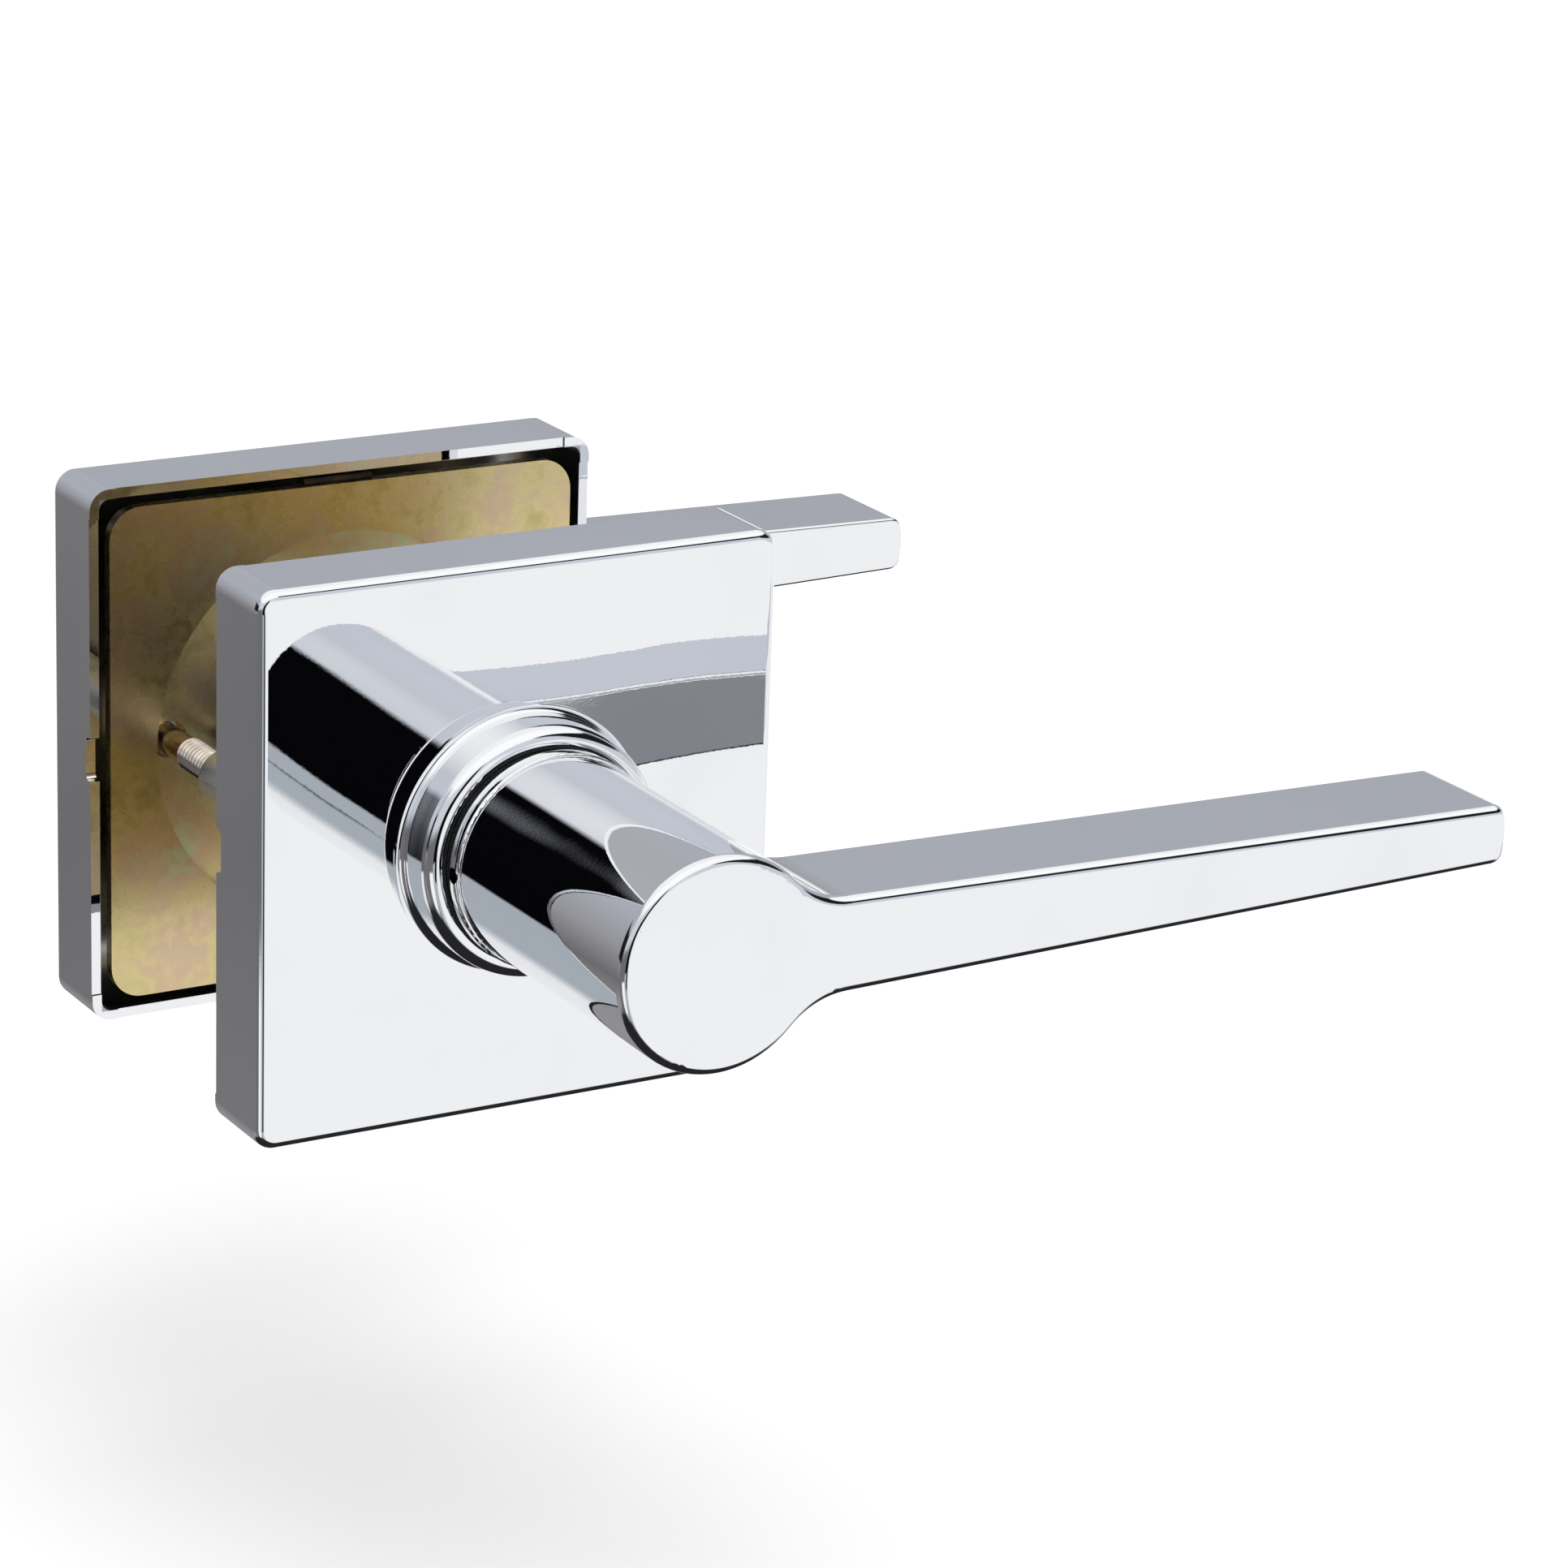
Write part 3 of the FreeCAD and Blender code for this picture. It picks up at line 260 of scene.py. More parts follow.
@dataclass(frozen=True)
class Finish(ABC):
    """A surface finish that can be put on any piece."""

    name: str
    metallic: float = 1.0
    colour: Colour = (0.6, 0.6, 0.6)
    roughness: float = 0.3

    @cache
    def material(self) -> bpy.types.Material:
        """The finish's material, made the first time it is asked for."""
        made = bpy.data.materials.new(self.name)
        made.use_nodes = True
        tree = ShaderTree(made.node_tree)
        shader = made.node_tree.nodes["Principled BSDF"]
        shader.inputs["Metallic"].default_value = self.metallic
        shader.inputs["Base Color"].default_value = (*self.colour, 1.0)
        shader.inputs["Roughness"].default_value = self.roughness
        for socket, value in self.surface(tree).items():
            tree.feed(shader.inputs[socket], value)
        return made

    @abstractmethod
    def surface(self, tree: ShaderTree) -> dict[str, Link]:
        """What varies over the surface, by socket of the shader."""

    def dress(self, piece: bpy.types.Object) -> None:
        """Put the finish on a piece."""
        piece.data.materials.clear()
        piece.data.materials.append(self.material())


@dataclass(frozen=True)
class BrightPlating(Finish):
    """Polished plating over a casting or pressing, with fine orange peel and faint hazy spots."""

    peel: float = 0.4 * MM
    peel_depth: float = 0.0004 * MM
    ripple: float = 6.0 * MM
    ripple_depth: float = 0.005 * MM
    sag: float = 34.0 * MM
    sag_depth: float = 0.13 * MM
    haze: float = 16.0 * MM
    haze_colour: Colour = (0.84, 0.86, 0.885)
    haze_roughness: float = 0.018
    speck: float = 0.5 * MM
    speck_roughness: float = 0.02

    def surface(self, tree: ShaderTree) -> dict[str, Link]:
        """Mirror with a slight waviness, cooler and duller in its hazy spots."""
        haze = tree.noise(self.haze, 3.0).step(0.45, 0.85)
        specks = tree.noise(self.speck, 1.0).step(0.72, 0.8)
        layers = (
            (self.peel, self.peel_depth),
            (self.ripple, self.ripple_depth),
            (self.sag, self.sag_depth),
        )
        depth = sum(part for size, part in layers)
        fine, middle, wide = (tree.noise(size, 0.0) * (part / depth) for size, part in layers)
        dulled = haze * self.haze_roughness + specks * self.speck_roughness
        return {
            "Base Color": tree.blend(haze, self.colour, self.haze_colour),
            "Roughness": dulled + self.roughness,
            "Normal": tree.bump(fine + middle + wide, depth),
        }


@dataclass(frozen=True)
class ShellPlating(BrightPlating):
    """Bright plating that turns dull and grey on the unpolished inside of a rose."""

    inner_half: float = 31.9 * MM
    first_floor: float = -10.1 * MM
    last_floor: float = 45.1 * MM
    edge: float = 0.2 * MM
    stain: float = 5.0 * MM
    stains: Stops = ((0.3, (0.34, 0.35, 0.37)), (0.7, (0.52, 0.53, 0.55)))
    dull_roughness: float = 0.32

    def surface(self, tree: ShaderTree) -> dict[str, Link]:
        """Bright outside, dull inside."""
        bright = super().surface(tree)
        x, y, z = tree.axes(tree.coordinates())
        across = abs(x).most(abs(z)).step(self.inner_half, self.inner_half - self.edge)
        above = y.step(self.first_floor, self.first_floor + self.edge)
        below = y.step(self.last_floor, self.last_floor - self.edge)
        inside = across * (above * below)
        stain = tree.noise(self.stain, 4.0)
        dull = tree.ramp(stain, self.stains)
        rough = stain * 0.2 + self.dull_roughness
        return {
            "Base Color": tree.blend(inside, bright["Base Color"], dull),
            "Roughness": inside * rough + (1 - inside) * bright["Roughness"],
            "Normal": bright["Normal"],
        }


@dataclass(frozen=True)
class ZincPlate(Finish):
    """Passivated zinc on pressed steel: cloudy tints, rolling lines and a soft sheen."""

    tints: Stops = ()
    drift: float = 9.0 * MM
    spangle: float = 1.6 * MM
    scuff: float = 0.7 * MM
    scuff_stretch: Triple = (1.0, 1.0, 0.12)
    scuff_colour: Colour = (0.72, 0.72, 0.7)
    pebble: float = 0.35 * MM
    pebble_depth: float = 0.004 * MM

    def surface(self, tree: ShaderTree) -> dict[str, Link]:
        """Drifting interference tints over a faintly pebbled skin."""
        drift = tree.noise(self.drift, 3.0)
        spangle = tree.noise(self.spangle, 2.0)
        tint = tree.ramp(drift * 0.75 + spangle * 0.25, self.tints)
        scuffs = tree.noise(self.scuff, 3.0, self.scuff_stretch).step(0.62, 0.78)
        return {
            "Base Color": tree.blend(scuffs * 0.35, tint, self.scuff_colour),
            "Roughness": spangle * 0.16 + self.roughness - scuffs * 0.06,
            "Normal": tree.bump(tree.noise(self.pebble, 2.0), self.pebble_depth),
        }


@dataclass(frozen=True)
class TurnedSteel(Finish):
    """Bare steel turned about the spindle axis, with fine tool lines and an oily film."""

    pitch: float = 0.28 * MM
    stretch: Triple = (0.02, 1.0, 0.02)
    line_depth: float = 0.006 * MM
    oil: float = 6.0 * MM
    oil_colour: Colour = (0.42, 0.40, 0.37)

    def surface(self, tree: ShaderTree) -> dict[str, Link]:
        """Rings along Y, uneven in depth, under a patchy film of oil."""
        lines = tree.noise(self.pitch, 2.0, self.stretch)
        oil = tree.noise(self.oil, 3.0).step(0.4, 0.75)
        return {
            "Base Color": tree.blend(oil, self.colour, self.oil_colour),
            "Roughness": lines * 0.18 + self.roughness - oil * 0.08,
            "Normal": tree.bump(lines, self.line_depth),
        }


@dataclass(frozen=True)
class SpringSteel(Finish):
    """Dark drawn wire or strip with a thin oxide."""

    oxide: float = 3.0 * MM
    oxides: Stops = (
        (0.35, (0.10, 0.105, 0.12)), (0.6, (0.16, 0.15, 0.14)), (0.75, (0.22, 0.19, 0.16)),
    )
    rubbed: float = 0.9 * MM
    rubbed_colour: Colour = (0.45, 0.45, 0.46)
    grain: float = 0.25 * MM
    grain_depth: float = 0.005 * MM

    def surface(self, tree: ShaderTree) -> dict[str, Link]:
        """Blue-black to brown oxide with bright rubbed spots."""
        oxide = tree.noise(self.oxide, 3.0)
        rubbed = tree.noise(self.rubbed, 2.0).step(0.62, 0.72)
        dark = tree.ramp(oxide, self.oxides)
        return {
            "Base Color": tree.blend(rubbed * 0.5, dark, self.rubbed_colour),
            "Roughness": oxide * 0.25 + self.roughness - rubbed * 0.1,
            "Normal": tree.bump(tree.noise(self.grain, 2.0), self.grain_depth),
        }


@dataclass(frozen=True)
class SinteredBronze(Finish):
    """Pressed and sintered bronze, open-grained and dark with oil."""

    pore: float = 0.22 * MM
    pore_colour: Colour = (0.10, 0.06, 0.03)
    pore_depth: float = 0.01 * MM
    tarnish: float = 4.0 * MM
    browns: Stops = ((0.35, (0.42, 0.27, 0.13)), (0.65, (0.62, 0.42, 0.22)))

    def surface(self, tree: ShaderTree) -> dict[str, Link]:
        """Fine pores in a brown metal."""
        pores = tree.noise(self.pore, 2.0).step(0.42, 0.3)
        metal = tree.ramp(tree.noise(self.tarnish, 3.0), self.browns)
        return {
            "Base Color": tree.blend(pores, metal, self.pore_colour),
            "Roughness": pores * 0.3 + self.roughness,
            "Normal": tree.bump(1 - pores, self.pore_depth),
        }


@dataclass(frozen=True)
class MouldedNylon(Finish):
    """Black nylon from a lightly spark-eroded mould."""

    grain: float = 0.18 * MM
    grain_depth: float = 0.008 * MM
    rubbed: float = 3.0 * MM
    rubbed_colour: Colour = (0.035, 0.035, 0.038)

    def surface(self, tree: ShaderTree) -> dict[str, Link]:
        """Fine mould grain with paler rubbed patches."""
        grain = tree.noise(self.grain, 2.0)
        rubbed = tree.noise(self.rubbed, 3.0).step(0.55, 0.8)
        return {
            "Base Color": tree.blend(rubbed, self.colour, self.rubbed_colour),
            "Roughness": grain * 0.2 + self.roughness - rubbed * 0.12,
            "Normal": tree.bump(grain, self.grain_depth),
        }


@dataclass(frozen=True)
class NickelPlate(Finish):
    """Warm nickel on a cold-headed screw."""

    tarnish: float = 1.6 * MM
    metals: Stops = ((0.35, (0.56, 0.49, 0.42)), (0.65, (0.78, 0.71, 0.64)))
    dent: float = 0.45 * MM
    dent_depth: float = 0.006 * MM

    def surface(self, tree: ShaderTree) -> dict[str, Link]:
        """Warm bright metal with small dents and a soft tarnish."""
        tarnish = tree.noise(self.tarnish, 3.0)
        return {
            "Base Color": tree.ramp(tarnish, self.metals),
            "Roughness": tarnish * 0.1 + self.roughness,
            "Normal": tree.bump(tree.noise(self.dent, 2.0), self.dent_depth),
        }


@dataclass(frozen=True)
class PaleFloor(Finish):
    """Matt pale floor with the faintest unevenness."""

    cloud: float = 0.4
    cloud_colour: Colour = (0.87, 0.87, 0.87)

    def surface(self, tree: ShaderTree) -> dict[str, Link]:
        """Barely varied near-white."""
        cloud = tree.noise(self.cloud, 2.0)
        return {"Base Color": tree.blend(cloud, self.colour, self.cloud_colour)}


PLATING = (0.88, 0.885, 0.9)
BRIGHT = BrightPlating("mirror_plating", colour=PLATING, roughness=0.012)
SHELL = ShellPlating("shell_plating", colour=PLATING, roughness=0.012, sag_depth=0.5 * MM)
YELLOW_ZINC = ZincPlate(
    "gold_passivation", roughness=0.2, tints=(
        (0.34, (0.58, 0.47, 0.22)), (0.46, (0.72, 0.60, 0.30)),
        (0.56, (0.70, 0.52, 0.34)), (0.68, (0.60, 0.62, 0.38)),
    ),
)
CLEAR_ZINC = ZincPlate(
    "silver_passivation", roughness=0.22, tints=(
        (0.34, (0.50, 0.54, 0.60)), (0.46, (0.62, 0.64, 0.66)),
        (0.56, (0.66, 0.66, 0.63)), (0.68, (0.56, 0.60, 0.66)),
    ),
)
TURNED_STEEL = TurnedSteel("lathe_steel", colour=(0.56, 0.565, 0.57), roughness=0.2)
SPRING_STEEL = SpringSteel("drawn_steel", roughness=0.26)
BRONZE = SinteredBronze("oiled_bronze", roughness=0.38)
NYLON = MouldedNylon("moulded_nylon", metallic=0.0, colour=(0.016, 0.016, 0.018), roughness=0.42)
NICKEL = NickelPlate("nickel_plate", roughness=0.07)
PALE_FLOOR = PaleFloor("pale_floor", metallic=0.0, colour=(0.9, 0.9, 0.9), roughness=0.8)


# ---------------------------------------------------------------- mesh building


class Bench:
    """The mesh tools that the modelled pieces share."""

    @staticmethod
    def start(name: str, primitive: Callable[..., Any], **sizes: Any) -> bpy.types.Object:
        """Deselect everything and add a primitive.

        Args:
            name: name of the new object.
            primitive: operator that adds it.
            sizes: the operator's settings.

        Returns:
            The new object, active and selected.
        """
        bpy.ops.object.select_all(action="DESELECT")
        primitive(**sizes)
        made = bpy.context.active_object
        made.name = made.data.name = name
        return made

    @staticmethod
    def activate(piece: bpy.types.Object) -> None:
        """Make a piece the only selected one."""
        bpy.ops.object.select_all(action="DESELECT")
        piece.select_set(True)
        bpy.context.view_layer.objects.active = piece

    @staticmethod
    def settle(piece: bpy.types.Object) -> None:
        """Move a piece's place, turn and scale into its mesh."""
        Bench.activate(piece)
        bpy.ops.object.transform_apply(location=True, rotation=True, scale=True)

    @staticmethod
    def modify(piece: bpy.types.Object, kind: str, **settings: Any) -> None:
        """Add a modifier and apply it."""
        Bench.activate(piece)
        modifier = piece.modifiers.new(kind.lower(), kind)
        for name, setting in settings.items():
            setattr(modifier, name, setting)
        bpy.ops.object.modifier_apply(modifier=modifier.name)

    @staticmethod
    def edit(
        piece: bpy.types.Object, pick: Callable[[Vector], bool], *steps: Callable[[], Any]
    ) -> None:
        """Select some faces and run edit-mode operators on them.

        Args:
            piece: the object.
            pick: tells from a face's centre whether it is selected.
            steps: calls of the operators, in order.
        """
        Bench.activate(piece)
        bpy.ops.object.mode_set(mode="EDIT")
        bpy.ops.mesh.select_all(action="DESELECT")
        bpy.ops.mesh.select_mode(type="FACE")
        bpy.ops.object.mode_set(mode="OBJECT")
        for face in piece.data.polygons:
            face.select = pick(face.center)
        bpy.ops.object.mode_set(mode="EDIT")
        for step in steps:
            step()
        bpy.ops.object.mode_set(mode="OBJECT")

    @staticmethod
    def close(piece: bpy.types.Object) -> None:
        """Merge doubles, cap open ends and turn every face outwards."""
        Bench.activate(piece)
        bpy.ops.object.mode_set(mode="EDIT")
        bpy.ops.mesh.select_all(action="SELECT")
        bpy.ops.mesh.remove_doubles(threshold=WELD)
        bpy.ops.mesh.select_all(action="DESELECT")
        bpy.ops.mesh.select_mode(type="EDGE")
        bpy.ops.mesh.select_non_manifold()
        bpy.ops.mesh.fill_holes(sides=0)
        bpy.ops.mesh.select_all(action="SELECT")
        bpy.ops.mesh.normals_make_consistent(inside=False)
        bpy.ops.object.mode_set(mode="OBJECT")

    @staticmethod
    def join(name: str, pieces: list[bpy.types.Object]) -> bpy.types.Object:
        """Join pieces into the first one."""
        Bench.activate(pieces[0])
        for piece in pieces[1:]:
            piece.select_set(True)
        bpy.ops.object.join()
        made = bpy.context.active_object
        made.name = made.data.name = name
        return made

    @staticmethod
    def copy(piece: bpy.types.Object, name: str) -> bpy.types.Object:
        """A copy of a piece with a mesh of its own."""
        twin = piece.copy()
        twin.data = piece.data.copy()
        twin.name = twin.data.name = name
        bpy.context.collection.objects.link(twin)
        return twin

    @staticmethod
    def smooth(piece: bpy.types.Object, degrees: float = 35.0) -> None:
        """Shade a piece smooth, but for its sharp edges."""
        Bench.activate(piece)
        bpy.ops.object.shade_smooth_by_angle(angle=math.radians(degrees))


@dataclass
class ThroughScrews:
    """Two machine screws: domed head, tapered cross recess, plain shank and rolled thread."""

    spacing: float = 42.2 * MM
    under_head: float = 40.6 * MM
    head_radius: float = 3.4 * MM
    head_sides: int = 96
    foot_scale: float = 0.94
    foot_rise: float = 0.16 * MM
    wall_rise: float = 0.5 * MM
    dome: float = 1.62 * MM
    dome_step: float = 12.0
    dome_rings: int = 8
    shank_radius: float = 1.75 * MM
    shank_sides: int = 48
    shank_overlap: float = 0.05 * MM
    tip_bevel: float = 0.45 * MM
    thread_radius: float = 1.98 * MM
    thread_start: float = 33.0 * MM
    thread_end: float = 0.5 * MM
    thread_steps: int = 28
    ridge_swell: float = 1.35
    ridge_sink: float = 0.35
    pitch: float = 0.8 * MM
    tip: float = 6.05 * MM
    recess_length: float = 6.6 * MM
    recess_width: float = 1.35 * MM
    recess_depth: float = 1.9 * MM
    recess_taper: Triple = (0.03, 0.3, 1.0)
    turns: tuple[float, float] = (0.3, 1.1)

    def head(self) -> bpy.types.Object:
        """Domed head, built upwards from its bearing face, with the recess cut in."""
        made = Bench.start(
            "screw_head", bpy.ops.mesh.primitive_circle_add,
            vertices=self.head_sides, radius=self.head_radius * self.foot_scale, fill_type="NGON",
        )
        rings = [(self.foot_rise, 1 / self.foot_scale), (self.wall_rise, 1.0)]
        angles = [math.radians(self.dome_step * i) for i in range(self.dome_rings)]
        for low, high in zip(angles, angles[1:]):
            lift = self.dome * (math.sin(high) - math.sin(low))
            rings.append((lift, math.cos(high) / math.cos(low)))

        def raise_ring(lift: float, grow: float) -> None:
            """Extrude the top face up and scale it."""
            bpy.ops.mesh.extrude_region_move(TRANSFORM_OT_translate={"value": (0, 0, lift)})
            bpy.ops.transform.resize(value=(grow, grow, 1))

        steps = [lambda lift=lift, grow=grow: raise_ring(lift, grow) for lift, grow in rings]
        Bench.edit(made, lambda centre: True, *steps)
        Bench.close(made)
        top = self.foot_rise + self.wall_rise + self.dome * math.sin(angles[-1])
        for turn in (0.0, math.pi / 2):
            cutter = self.recess_arm(top, turn)
            Bench.modify(made, "BOOLEAN", operation="DIFFERENCE", object=cutter, solver="EXACT")
            bpy.data.objects.remove(cutter)
        return made

    def recess_arm(self, top: float, turn: float) -> bpy.types.Object:
        """Tapered bar that cuts one arm of the recess."""
        cutter = Bench.start("recess", bpy.ops.mesh.primitive_cube_add, size=1.0)
        depth = self.recess_depth * 2
        cutter.scale = (self.recess_length, self.recess_width, depth)
        cutter.location = (0, 0, top)
        Bench.settle(cutter)
        Bench.edit(
            cutter, lambda centre: centre.z < top - depth / 4,
            lambda: bpy.ops.transform.resize(value=self.recess_taper),
        )
        cutter.rotation_euler = (0, 0, turn)
        Bench.settle(cutter)
        return cutter

    def shank(self) -> bpy.types.Object:
        """Plain shank under the head with a short cone at its tip."""
        length = self.under_head - self.tip
        made = Bench.start(
            "screw_shank", bpy.ops.mesh.primitive_cylinder_add, vertices=self.shank_sides,
            radius=self.shank_radius, depth=length,
            location=(0, 0, self.shank_overlap - length / 2),
        )
        Bench.settle(made)
        Bench.modify(made, "BEVEL", width=self.tip_bevel, segments=3, limit_method="ANGLE")
        return made

    def thread(self) -> bpy.types.Object:
        """Rolled thread: a small diamond section swept along a helix."""
        ridge = self.thread_radius - self.shank_radius
        made = Bench.start(
            "screw_thread", bpy.ops.mesh.primitive_circle_add, vertices=4,
            radius=ridge * self.ridge_swell, fill_type="NOTHING", rotation=(math.pi / 2, 0, 0),
        )
        centre = self.shank_radius - ridge * self.ridge_sink
        made.location = (centre, 0, self.tip - self.under_head + self.thread_end)
        Bench.settle(made)
        Bench.modify(
            made, "SCREW", axis="Z", angle=2 * math.pi, screw_offset=self.pitch,
            iterations=int((self.thread_start - self.tip) / self.pitch),
            steps=self.thread_steps, render_steps=self.thread_steps, use_merge_vertices=True,
        )
        Bench.close(made)
        return made

    def build(self) -> bpy.types.Object:
        """Both screws as one piece, in their place."""
        screw = Bench.join("machine_screw", [self.head(), self.shank(), self.thread()])
        screw.rotation_euler = (-math.pi / 2, 0, 0)
        Bench.settle(screw)
        screws = []
        for place, turn in zip((-self.spacing / 2, self.spacing / 2), self.turns):
            twin = Bench.copy(screw, "machine_screw")
            twin.rotation_euler = (0, turn, 0)
            twin.location = (place, self.under_head, 0)
            Bench.settle(twin)
            screws.append(twin)
        bpy.data.objects.remove(screw)
        pair = Bench.join("threaded_screws", screws)
        Bench.smooth(pair)
        NICKEL.dress(pair)
        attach(pair, "root")
        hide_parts("through_screws")
        return pair


@dataclass
class ReturnSpring:
    """Coiled torsion spring with two legs bent outwards."""

    side: Side
    radius: float = 11.6 * MM
    wire: float = 0.75 * MM
    wire_sides: int = 14
    pitch: float = 1.6 * MM
    turns: int = 6
    start: float = 6.6 * MM
    lead: float = 12.0
    bend: float = 1.5 * MM
    bend_steps: int = 8
    bend_room: float = 1.2 * MM
    leg_end: float = 15.9 * MM
    steps: int = 72
    smooth_angle: float = 60.0

    def build(self) -> bpy.types.Object:
        """Wind the coil, bend both legs and set the spring in its cage."""
        lean = math.degrees(math.asin(self.bend / (self.radius + self.bend + self.bend_room)))
        sweep = 360 * self.turns + 2 * (self.lead - lean)
        first = math.radians(90 - self.lead + lean)
        climb = self.pitch * sweep / 360
        ring = Bench.start(
            f"{self.side.label}_coil", bpy.ops.mesh.primitive_circle_add,
            vertices=self.wire_sides, radius=self.wire, fill_type="NOTHING",
            rotation=(math.pi / 2, 0, 0), location=(self.radius, 0, 0),
        )
        Bench.settle(ring)
        steps = int(self.steps * sweep / 360)
        Bench.modify(
            ring, "SCREW", axis="Z", angle=math.radians(sweep), screw_offset=climb, iterations=1,
            steps=steps, render_steps=steps, use_merge_vertices=False,
        )
        for turn, height, way in ((0.0, 0.0, 1), (math.radians(sweep), climb, -1)):
            self.bend_leg(ring, turn, height, way)
        Bench.close(ring)
        ring.rotation_euler = (0, 0, first)
        ring.location = (0, 0, -self.start)
        Bench.settle(ring)
        ring.rotation_euler = (-self.side.value * math.pi / 2, 0, 0)
        if self.side is Side.INSIDE:
            ring.location = (0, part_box("inside_mounting_plate")[0].y, 0)
        Bench.settle(ring)
        Bench.smooth(ring, self.smooth_angle)
        SPRING_STEEL.dress(ring)
        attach(ring, "root")
        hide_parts(f"{self.side.label}_return_spring")
        return ring

    def bend_leg(self, ring: bpy.types.Object, turn: float, height: float, way: int) -> None:
        """Turn one open end of the coil outwards and draw it out as a leg.

        Args:
            ring: the coil.
            turn: where the end is, round the axis.
            height: where the end is, along the axis.
            way: 1 for the end that is bent backwards along the coil, -1 for the other.
        """
        out = Vector((math.cos(turn), math.sin(turn), 0))
        end = out * self.radius + Vector((0, 0, height))
        pivot = out * (self.radius + self.bend) + Vector((0, 0, height))
        Bench.activate(ring)
        bpy.ops.object.mode_set(mode="EDIT")
        bpy.ops.mesh.select_all(action="DESELECT")
        bpy.ops.mesh.select_mode(type="VERT")
        bpy.ops.object.mode_set(mode="OBJECT")
        along = Vector((-out.y, out.x, 0))
        reach, slack = self.wire * 1.05, self.wire * 0.02
        for vertex in ring.data.vertices:
            offset = vertex.co - end
            vertex.select = offset.length < reach and abs(offset.dot(along)) < slack
        bpy.ops.object.mode_set(mode="EDIT")
        bpy.ops.mesh.select_mode(type="EDGE")
        quarter = -way * math.pi / 2
        bpy.ops.mesh.spin(steps=self.bend_steps, angle=quarter, center=pivot, axis=(0, 0, 1))
        leg = out * (self.leg_end - self.radius - self.bend)
        bpy.ops.mesh.extrude_region_move(TRANSFORM_OT_translate={"value": leg})
        bpy.ops.object.mode_set(mode="OBJECT")


# ---------------------------------------------------------------- sub-assemblies


@dataclass
class Trim:
    """One half of the set: lever, rose and what is behind it."""

    side: Side
    finishes: dict[str, Finish] = field(default_factory=lambda: {
        "lever": BRIGHT,
        "rose_cover": SHELL,
        "rose_collar": BRIGHT,
        "neck_bush": NYLON,
        "drive_sleeve": TURNED_STEEL,
        "lever_catch": TURNED_STEEL,
        "catch_spring": SPRING_STEEL,
        "mounting_plate": YELLOW_ZINC,
        "bearing_bush": BRONZE,
        "thrust_washer": CLEAR_ZINC,
        "retaining_ring": SPRING_STEEL,
        "spring_cage": CLEAR_ZINC,
        "spring_driver": CLEAR_ZINC,
        "rose_clips": SPRING_STEEL,
    })

    def build(self) -> None:
        """Dress each node of the trim and wind its return spring."""
        for piece, finish in self.finishes.items():
            finish.dress(self.side.node(piece))
            log.info("%s_%s: %s", self.side.label, piece, finish.name)
        spring = ReturnSpring(self.side).build()
        log.info("%s: %d faces", spring.name, len(spring.data.polygons))


@dataclass
class Fastening:
    """What the two trims share: spindle, threaded posts and screws."""

    def build(self) -> None:
        """Dress the shared nodes and model the screws."""
        TURNED_STEEL.dress(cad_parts["spindle"])
        CLEAR_ZINC.dress(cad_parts["screw_posts"])
        screws = ThroughScrews().build()
        log.info("%s: %d faces", screws.name, len(screws.data.polygons))


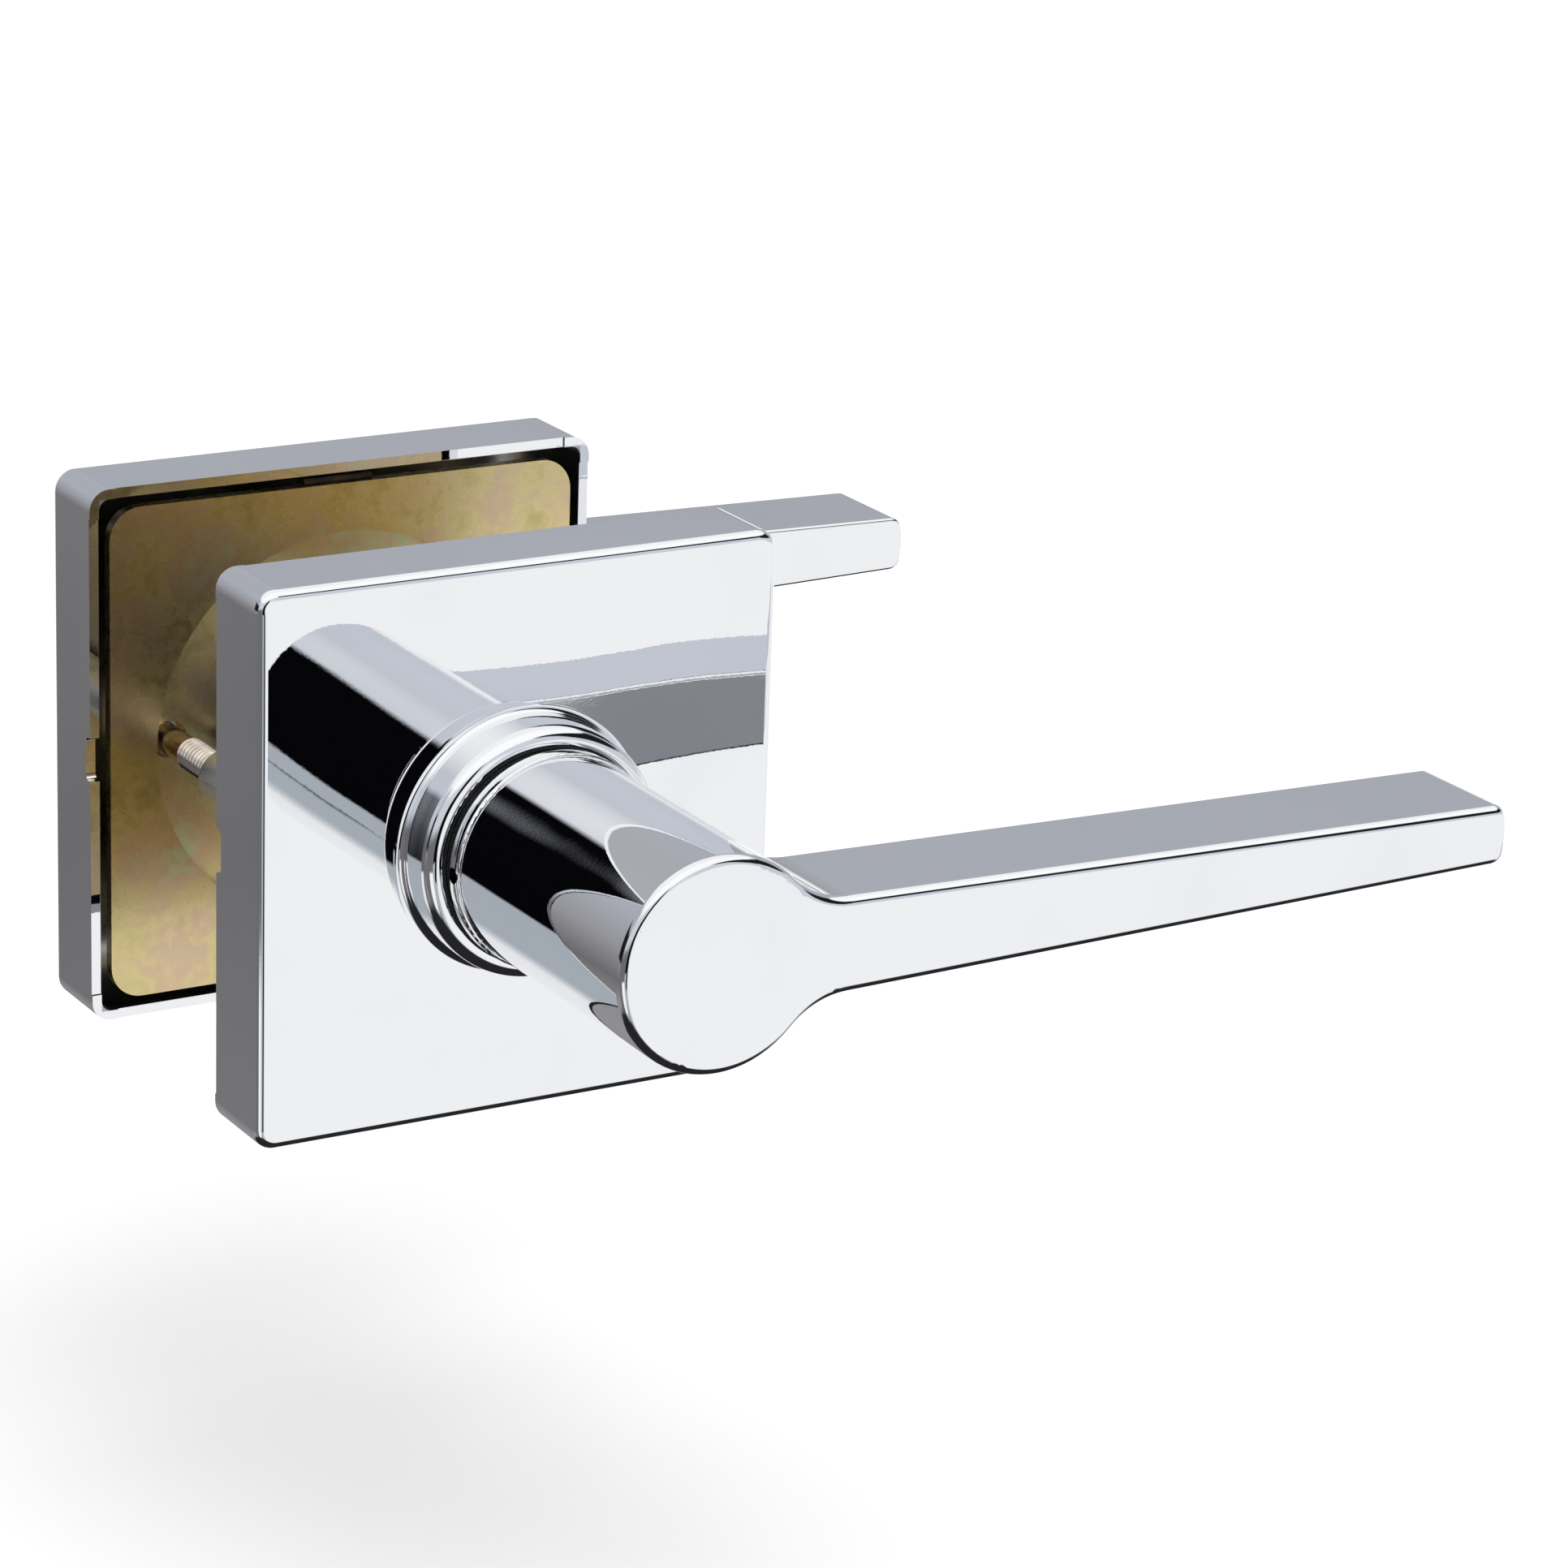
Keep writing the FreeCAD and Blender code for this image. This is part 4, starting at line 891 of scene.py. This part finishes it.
@dataclass
class Studio:
    """Pale floor, soft light all round and the camera."""

    azimuth: float = -27.5
    elevation: float = 18.6
    roll: float = 2.0
    distance: float = 0.64
    margin: float = 1.07
    drop: float = 90 * MM
    floor_size: float = 12.0
    lamp_place: Triple = (0.15, -0.25, 1.3)
    lamp_size: float = 1.4
    lamp_power: float = 9.0

    def build(self) -> None:
        """Lay the floor, light the set and aim the camera."""
        self.lay_floor()
        self.hang_sky()
        self.hang_lights()
        self.aim_camera()

    def lay_floor(self) -> None:
        """Wide matt floor below the reach of the levers, which polished metal doesn't mirror."""
        floor = Bench.start("floor", bpy.ops.mesh.primitive_plane_add, size=self.floor_size)
        floor.location = (0, 0, -self.drop)
        Bench.settle(floor)
        floor.visible_glossy = False
        PALE_FLOOR.dress(floor)

    def hang_sky(self) -> None:
        """White room for the eye, and a tent of cloths for what is polished."""
        world = bpy.data.worlds.new("studio")
        bpy.context.scene.world = world
        world.use_nodes = True
        tree = ShaderTree(world.node_tree)
        eye = tree.make("ShaderNodeLightPath", {}, {}, "Is Camera Ray")
        glossy = tree.make("ShaderNodeLightPath", {}, {}, "Is Glossy Ray")
        room = tree.blend(eye, Cloth.FILL.value, Cloth.BACKDROP.value)
        room = tree.blend(glossy, room, self.tent(tree))
        tree.feed(world.node_tree.nodes["Background"].inputs["Color"], room)

    def tent(self, tree: ShaderTree) -> Value:
        """Cloths in front and behind, and what hangs between and before them."""
        x, y, z = tree.axes(tree.make("ShaderNodeTexCoord", {}, {}, "Generated"))
        behind = y.step(-0.12, 0.12)
        ahead = 1 - behind
        aside = abs(y).step(0.80, 0.73)
        front = self.front_cloth(tree, x, z, 1 - aside)
        tent = tree.blend(behind, front, self.back_cloth(tree, x, z))

        left_low = ahead * x.step(-0.35, -0.45) * z.step(-0.32, -0.36) * y.step(-0.40, -0.48)
        right_low = behind * x.step(0.35, 0.45) * z.step(-0.37, -0.33) * z.step(0.25, -0.05)
        facing = behind * x.step(0.28, 0.36) * z.step(-0.300, -0.285) * z.step(0.1, -0.02)
        white = (aside * left_low.most(right_low)).most(facing)
        tent = tree.blend(white, tent, Cloth.WHITE.value)

        right_high = ahead * x.step(0.3, 0.4) * z.step(0.24, 0.32) * z.step(0.66, 0.6)
        left_middle = behind * x.step(-0.3, -0.4) * z.step(-0.14, -0.06) * z.step(0.38, 0.28)
        tent = tree.blend(aside * right_high.most(left_middle), tent, Cloth.BLACK.value)

        tent = tree.blend(z.step(-0.62, -0.74), tent, Cloth.UNDER.value)
        head_on = y.step(-0.93, -0.97).most(y.step(0.93, 0.97))
        return tree.blend(head_on, tent, Cloth.HEAD_ON.value)

    @staticmethod
    def front_cloth(tree: ShaderTree, x: Value, z: Value, ahead: Value) -> Value:
        """Cloth in front: white below, grey to white overhead, a black flag on the left.

        Args:
            tree: the world's tree.
            x: how far to the right the ray goes.
            z: how far up it goes.
            ahead: 1 where the ray goes mostly along Y.
        """
        lower = tree.blend(x.step(-0.16, 0.04), Cloth.LOW_LEFT.value, Cloth.LOW_RIGHT.value)
        upper = tree.ramp(z, (
            (0.0, (0.62, 0.65, 0.70)), (0.30, (0.67, 0.70, 0.77)),
            (0.48, (0.66, 0.69, 0.74)), (0.64, (1.1, 1.1, 1.1)),
        ))
        cloth = tree.blend(z.step(-0.06, 0.08), lower, upper)
        top_edge = x.step(-0.62, -0.1, 0.30, 0.58)
        bottom_edge = x.step(-0.38, -0.32, -0.27, -0.40)
        below = (z - bottom_edge).step(-0.01, 0.02)
        flag = (top_edge - z).step(-0.03, 0.03) * below * x.step(-0.10, -0.17)
        grey = (1 - ahead) * x.step(-0.25, -0.4) * z.step(0.2, -0.05)
        cloth = tree.blend(grey, cloth, Cloth.GREY.value)
        return tree.blend(flag * ahead, cloth, Cloth.FLAG.value)

    @staticmethod
    def back_cloth(tree: ShaderTree, x: Value, z: Value) -> Value:
        """Cloth behind: grey, paler upwards and to the right."""
        cloth = tree.ramp(z * 0.5 + 0.5, (
            (0.22, (0.30, 0.295, 0.30)), (0.34, (0.165, 0.16, 0.165)),
            (0.5, (0.34, 0.34, 0.36)), (0.68, (0.445, 0.465, 0.515)),
            (0.79, (0.44, 0.445, 0.475)), (0.84, (1.0, 1.0, 1.0)),
        ))
        pale = z.step(0.1, -0.2) * x.step(0.1, 0.4)
        return tree.blend(pale, cloth, Cloth.PALE.value)

    def hang_lights(self) -> None:
        """One large soft light overhead, for the shadow on the floor."""
        data = bpy.data.lights.new("overhead", "AREA")
        data.shape = "DISK"
        data.size = self.lamp_size
        data.energy = self.lamp_power
        light = bpy.data.objects.new("overhead", data)
        light.location = self.lamp_place
        light.rotation_mode = "QUATERNION"
        light.rotation_quaternion = Vector(light.location).to_track_quat("Z", "Y")
        light.visible_glossy = False
        light.visible_camera = False
        bpy.context.scene.collection.objects.link(light)

    def aim_camera(self) -> None:
        """Camera to the left of the outside trim and above it, with the whole set in view."""
        a, e = math.radians(self.azimuth), math.radians(self.elevation)
        back = Vector((math.sin(a) * math.cos(e), -math.cos(a) * math.cos(e), math.sin(e)))
        eye = back * self.distance
        corners = [
            Vector((x, y, z))
            for low, high in (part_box(name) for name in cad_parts)
            for x in (low.x, high.x) for y in (low.y, high.y) for z in (low.z, high.z)
        ]
        roll = Quaternion((0, 0, 1), math.radians(self.roll))
        for _ in range(3):
            turn = back.to_track_quat("Z", "Y") @ roll
            spans = []
            for axis in (turn @ Vector((1, 0, 0)), turn @ Vector((0, 1, 0))):
                slopes = [(spot - eye).dot(axis) / (eye - spot).dot(back) for spot in corners]
                spans.append((axis, min(slopes), max(slopes)))
            for axis, low, high in spans:
                back = back - axis * (low + high) / 2
            back.normalize()
        data = bpy.data.cameras.new("camera")
        widest = max(high - low for axis, low, high in spans)
        data.lens = data.sensor_width / (widest * self.margin)
        camera = bpy.data.objects.new("camera", data)
        camera.location = eye
        camera.rotation_mode = "QUATERNION"
        camera.rotation_quaternion = back.to_track_quat("Z", "Y") @ roll
        bpy.context.scene.collection.objects.link(camera)
        bpy.context.scene.camera = camera
        bpy.context.scene.view_settings.view_transform = "Standard"


def main() -> None:
    """Build the set and its studio."""
    logging.basicConfig(level=logging.INFO, format="%(name)s: %(message)s")
    for side in Side:
        Trim(side).build()
    Fastening().build()
    Studio().build()


if __name__ == "__main__":
    main()
